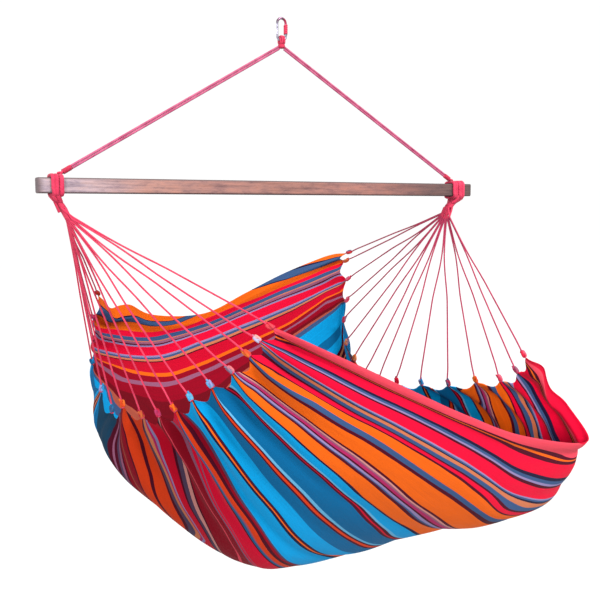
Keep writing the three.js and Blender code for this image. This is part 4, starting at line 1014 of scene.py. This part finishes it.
def add_fan_loop(word):
    shape = Shape()
    part = SIDES[word]
    x, side = part["loop_x"], part["side"]
    wide, deep = part["neck"]
    turns_round_bar(shape, x, LOOP_THICK - 0.6, 2, part["loop"], 0.2 if side < 0 else 0.9)
    bottom = neck_middle(word, NECK_SWING, -(CROWN_TOP - SEIZING - GAP))
    top_z = -(BAR_HEIGHT / 2 + GAP + 0.6)
    # the ropes' ends come down from both faces of the bar into the binding
    for i in range(8):
        angle = 2 * np.pi * (i + 0.5) / 8
        sx, sy = math.cos(angle), math.sin(angle)
        beyond, rise = (5.2, 14.0) if abs(sy) > 0.8 else (1.0, -4.5)
        high = np.array([x + (part["loop"] / 2 - 4.4) * sx, (BAR_DEPTH / 2 + beyond) * np.sign(sy),
                         top_z + rise])
        low = bottom + [(wide / 2 - 3.6) * math.cos(angle + 0.5), (deep / 2 - 3.6) * math.sin(angle + 0.5), 0]
        mid = high + (low - high) * 0.5 + [0, 2.6 * sy, -1.0]
        rope(shape, [high, mid, low], 8.8, 21.0, 1.4, 14, phase=i, depth=0.13)
    core(shape, [x, 0, top_z - 4], bottom, part["loop"] / 2 - 1, 14, 3.0, taper=lambda share: 1 - 0.1 * share)
    if side < 0:
        # the rope's cut tail lies along the neck
        top = np.array([x + side * (part["loop"] / 2 - TAIL / 2), -TAIL_FORWARD - 2.5, -BAR_HEIGHT / 2 - 1.2])
        foot = top + [-side * (TAIL_LEAN + 2.5), 0, -TAIL_LENGTH]
        rope(shape, [top + [0, 0, 3.0], top, (top + foot) / 2 + [side * 0.5, 0, 0], foot], TAIL * 1.25, 15.0,
             1.3, 14, taper=lambda u: 1 + 0.06 * u ** 6, tint=(0.80, 0.66, 0.76))
    return shape.build(f"fan_loop_turns_{word}", "bar", f"fan_loop_{word}")


# ---- rope legs, top eye and link


def add_leg(word, which, offset):
    shape = Shape(below_bar=False)
    part = SIDES[word]
    direction = part["leg"]
    upward = part["side"] * np.array([direction[2], 0, -direction[0]])
    start = np.array([0, 0, LEG_TOP]) - direction * (WHIP_DIAMETER / 2 + GAP)
    end = np.array([part["eye_x"], 0, EYE_TOP]) + direction * (SPLICE_LENGTH + GAP)
    points = np.array([start, (start + end) / 2, end]) + upward * offset
    rope(shape, points, STRAND * 1.07, 15.0, 1.6, 15, 3, phase=0.8 * offset, depth=0.14)
    return shape.build(f"leg_{word}_{which}", "bar", f"rope_{word}_{which}", [LEG_ROPE])


def add_top_eye():
    shape = Shape(below_bar=False)
    inner = ROD + GAP + TURN / 2
    outer = inner + TURN * 0.87
    pitch = TURN * 0.94
    # three turns lie on the link's bow, and two more in the grooves between them
    for k, (x, reach) in enumerate([(-pitch, inner), (0, inner), (pitch, inner), (-pitch / 2, outer),
                                    (pitch / 2, outer)]):
        points = [[x * 0.75, reach * 0.55, NECK_FOOT + 0.6], [x, reach * 0.85, BOW_BOTTOM - 6]]
        for i in range(9):
            angle = math.pi * i / 8
            points.append([x, reach * math.cos(angle), BOW_BOTTOM + reach * math.sin(angle)])
        points += [[x, -reach * 0.85, BOW_BOTTOM - 6], [x * 0.75, -reach * 0.55, NECK_FOOT + 0.6]]
        rope(shape, points, TURN * 0.98, 15.0, 1.3, phase=1.1 * k)
    core(shape, [0, 0, BOW_BOTTOM - ROD - 1.2], [0, 0, NECK_FOOT], WHIP_DIAMETER / 2 - 1.6, 18,
         hint=(1, 0, 0))
    return shape.build("top_eye_turns", "rope_top", "top_rope_eye")


def add_whipping():
    """Turns of cord that bulge round the middle of the top binding."""
    shape = Shape(below_bar=False)
    foot, cord = WHIP_TOP - WHIP_HEIGHT, 2.6
    low, high = 0.10 * WHIP_HEIGHT, 0.90 * WHIP_HEIGHT

    def reach(share):
        height = low + (high - low) * share
        return np.sqrt((WHIP_DIAMETER / 2) ** 2 - (height - WHIP_HEIGHT / 2) ** 2) - cord / 2

    path = coil([0, 0, foot + low], [0, 0, foot + high], (1, 0, 0), (0, 1, 0), 5, 28, reach=reach)
    tube(shape, path, cord / 2, 9, section=laid(3, 7.0, 0.18))
    core(shape, [0, 0, WHIP_TOP], [0, 0, foot], WHIP_DIAMETER / 2 - 2.6, 18, hint=(1, 0, 0))
    return shape.build("whipping_turns", "rope_top", "top_whipping")


def add_link_binding():
    """Rope wound closely round the link's right limb."""
    shape = Shape(below_bar=False)
    turns, inside = 6, ROD + 0.5
    cord = BINDING_LENGTH / turns * 0.96
    thick = BINDING_DIAMETER / 2 - inside
    reach = inside + thick / 2
    foot = -BINDING_TOP - BINDING_LENGTH
    path = coil([LIMB_X, 0, foot + cord / 2], [LIMB_X, 0, -BINDING_TOP - cord / 2],
                (reach, 0, 0), (0, reach, 0), turns - 1, 28)
    tube(shape, path, thick / 2, 14, section=laid(3, 9.0, 0.10, 0, cord / thick * 1.06), held=True)
    return shape.build("link_binding_turns", "link", "link_binding")


# ---- building


def dress_frame_nodes():
    for name in ("link_body", "link_gate", "gate_pin", "spreader_bar"):
        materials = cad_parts[name].data.materials
        materials.clear()
        materials.append(WOOD if name == "spreader_bar" else STEEL)


dress_frame_nodes()
for end, word in enumerate(("left", "right")):
    for pair in range(PAIRS):
        add_cord(word, end, pair)
    add_crown(word, end)
    add_seizing(word)
    add_fan_loop(word)
    add_bar_eye(word)
    for which, offset in (("upper", STRAND / 2 + GAP / 2), ("lower", -STRAND / 2 - GAP / 2)):
        add_leg(word, which, offset)
add_link_binding()
add_top_eye()
add_whipping()
cloth = add_cloth()

# ---- studio

FLOOR_HALF, FLOOR_HEIGHT = 60.0, -5.0


def add_floor():
    mesh = bpy.data.meshes.new("floor")
    corners = [(x * FLOOR_HALF, y * FLOOR_HALF, FLOOR_HEIGHT)
               for x, y in ((-1, -1), (1, -1), (1, 1), (-1, 1))]
    mesh.from_pydata(corners, [], [[0, 1, 2, 3]])
    graph = Graph("pale_floor")
    speck = graph.noise(graph.object_place(), 6.0)
    colour = graph.ramp(speck, [(0.3, (0.47, 0.47, 0.47)), (0.7, (0.49, 0.49, 0.49))])
    mesh.materials.append(graph.finish(colour, 0.9))
    add_object("floor", mesh)


def add_sun(name, toward, strength, spread):
    """A broad lamp that shines from a direction."""
    data = bpy.data.lights.new(name, "SUN")
    data.energy = strength
    data.angle = math.radians(spread)
    light = add_object(name, data)
    flat = math.hypot(toward[0], toward[1])
    light.rotation_euler = (math.atan2(flat, toward[2]), 0, math.atan2(toward[1], toward[0]) + math.pi / 2)


def add_studio():
    add_floor()
    world = bpy.data.worlds.new("studio")
    world.use_nodes = True
    colour, strength = world.node_tree.nodes["Background"].inputs[:2]
    colour.default_value = (1.0, 1.0, 1.0, 1.0)
    strength.default_value = 1.02
    bpy.context.scene.world = world
    add_sun("key", (0.27, -0.95, 0.95), 4.9, 22.0)
    add_sun("fill", (-0.8, -0.7, 0.22), 2.8, 24.0)
    bpy.context.scene.view_settings.view_transform = "Standard"


add_studio()
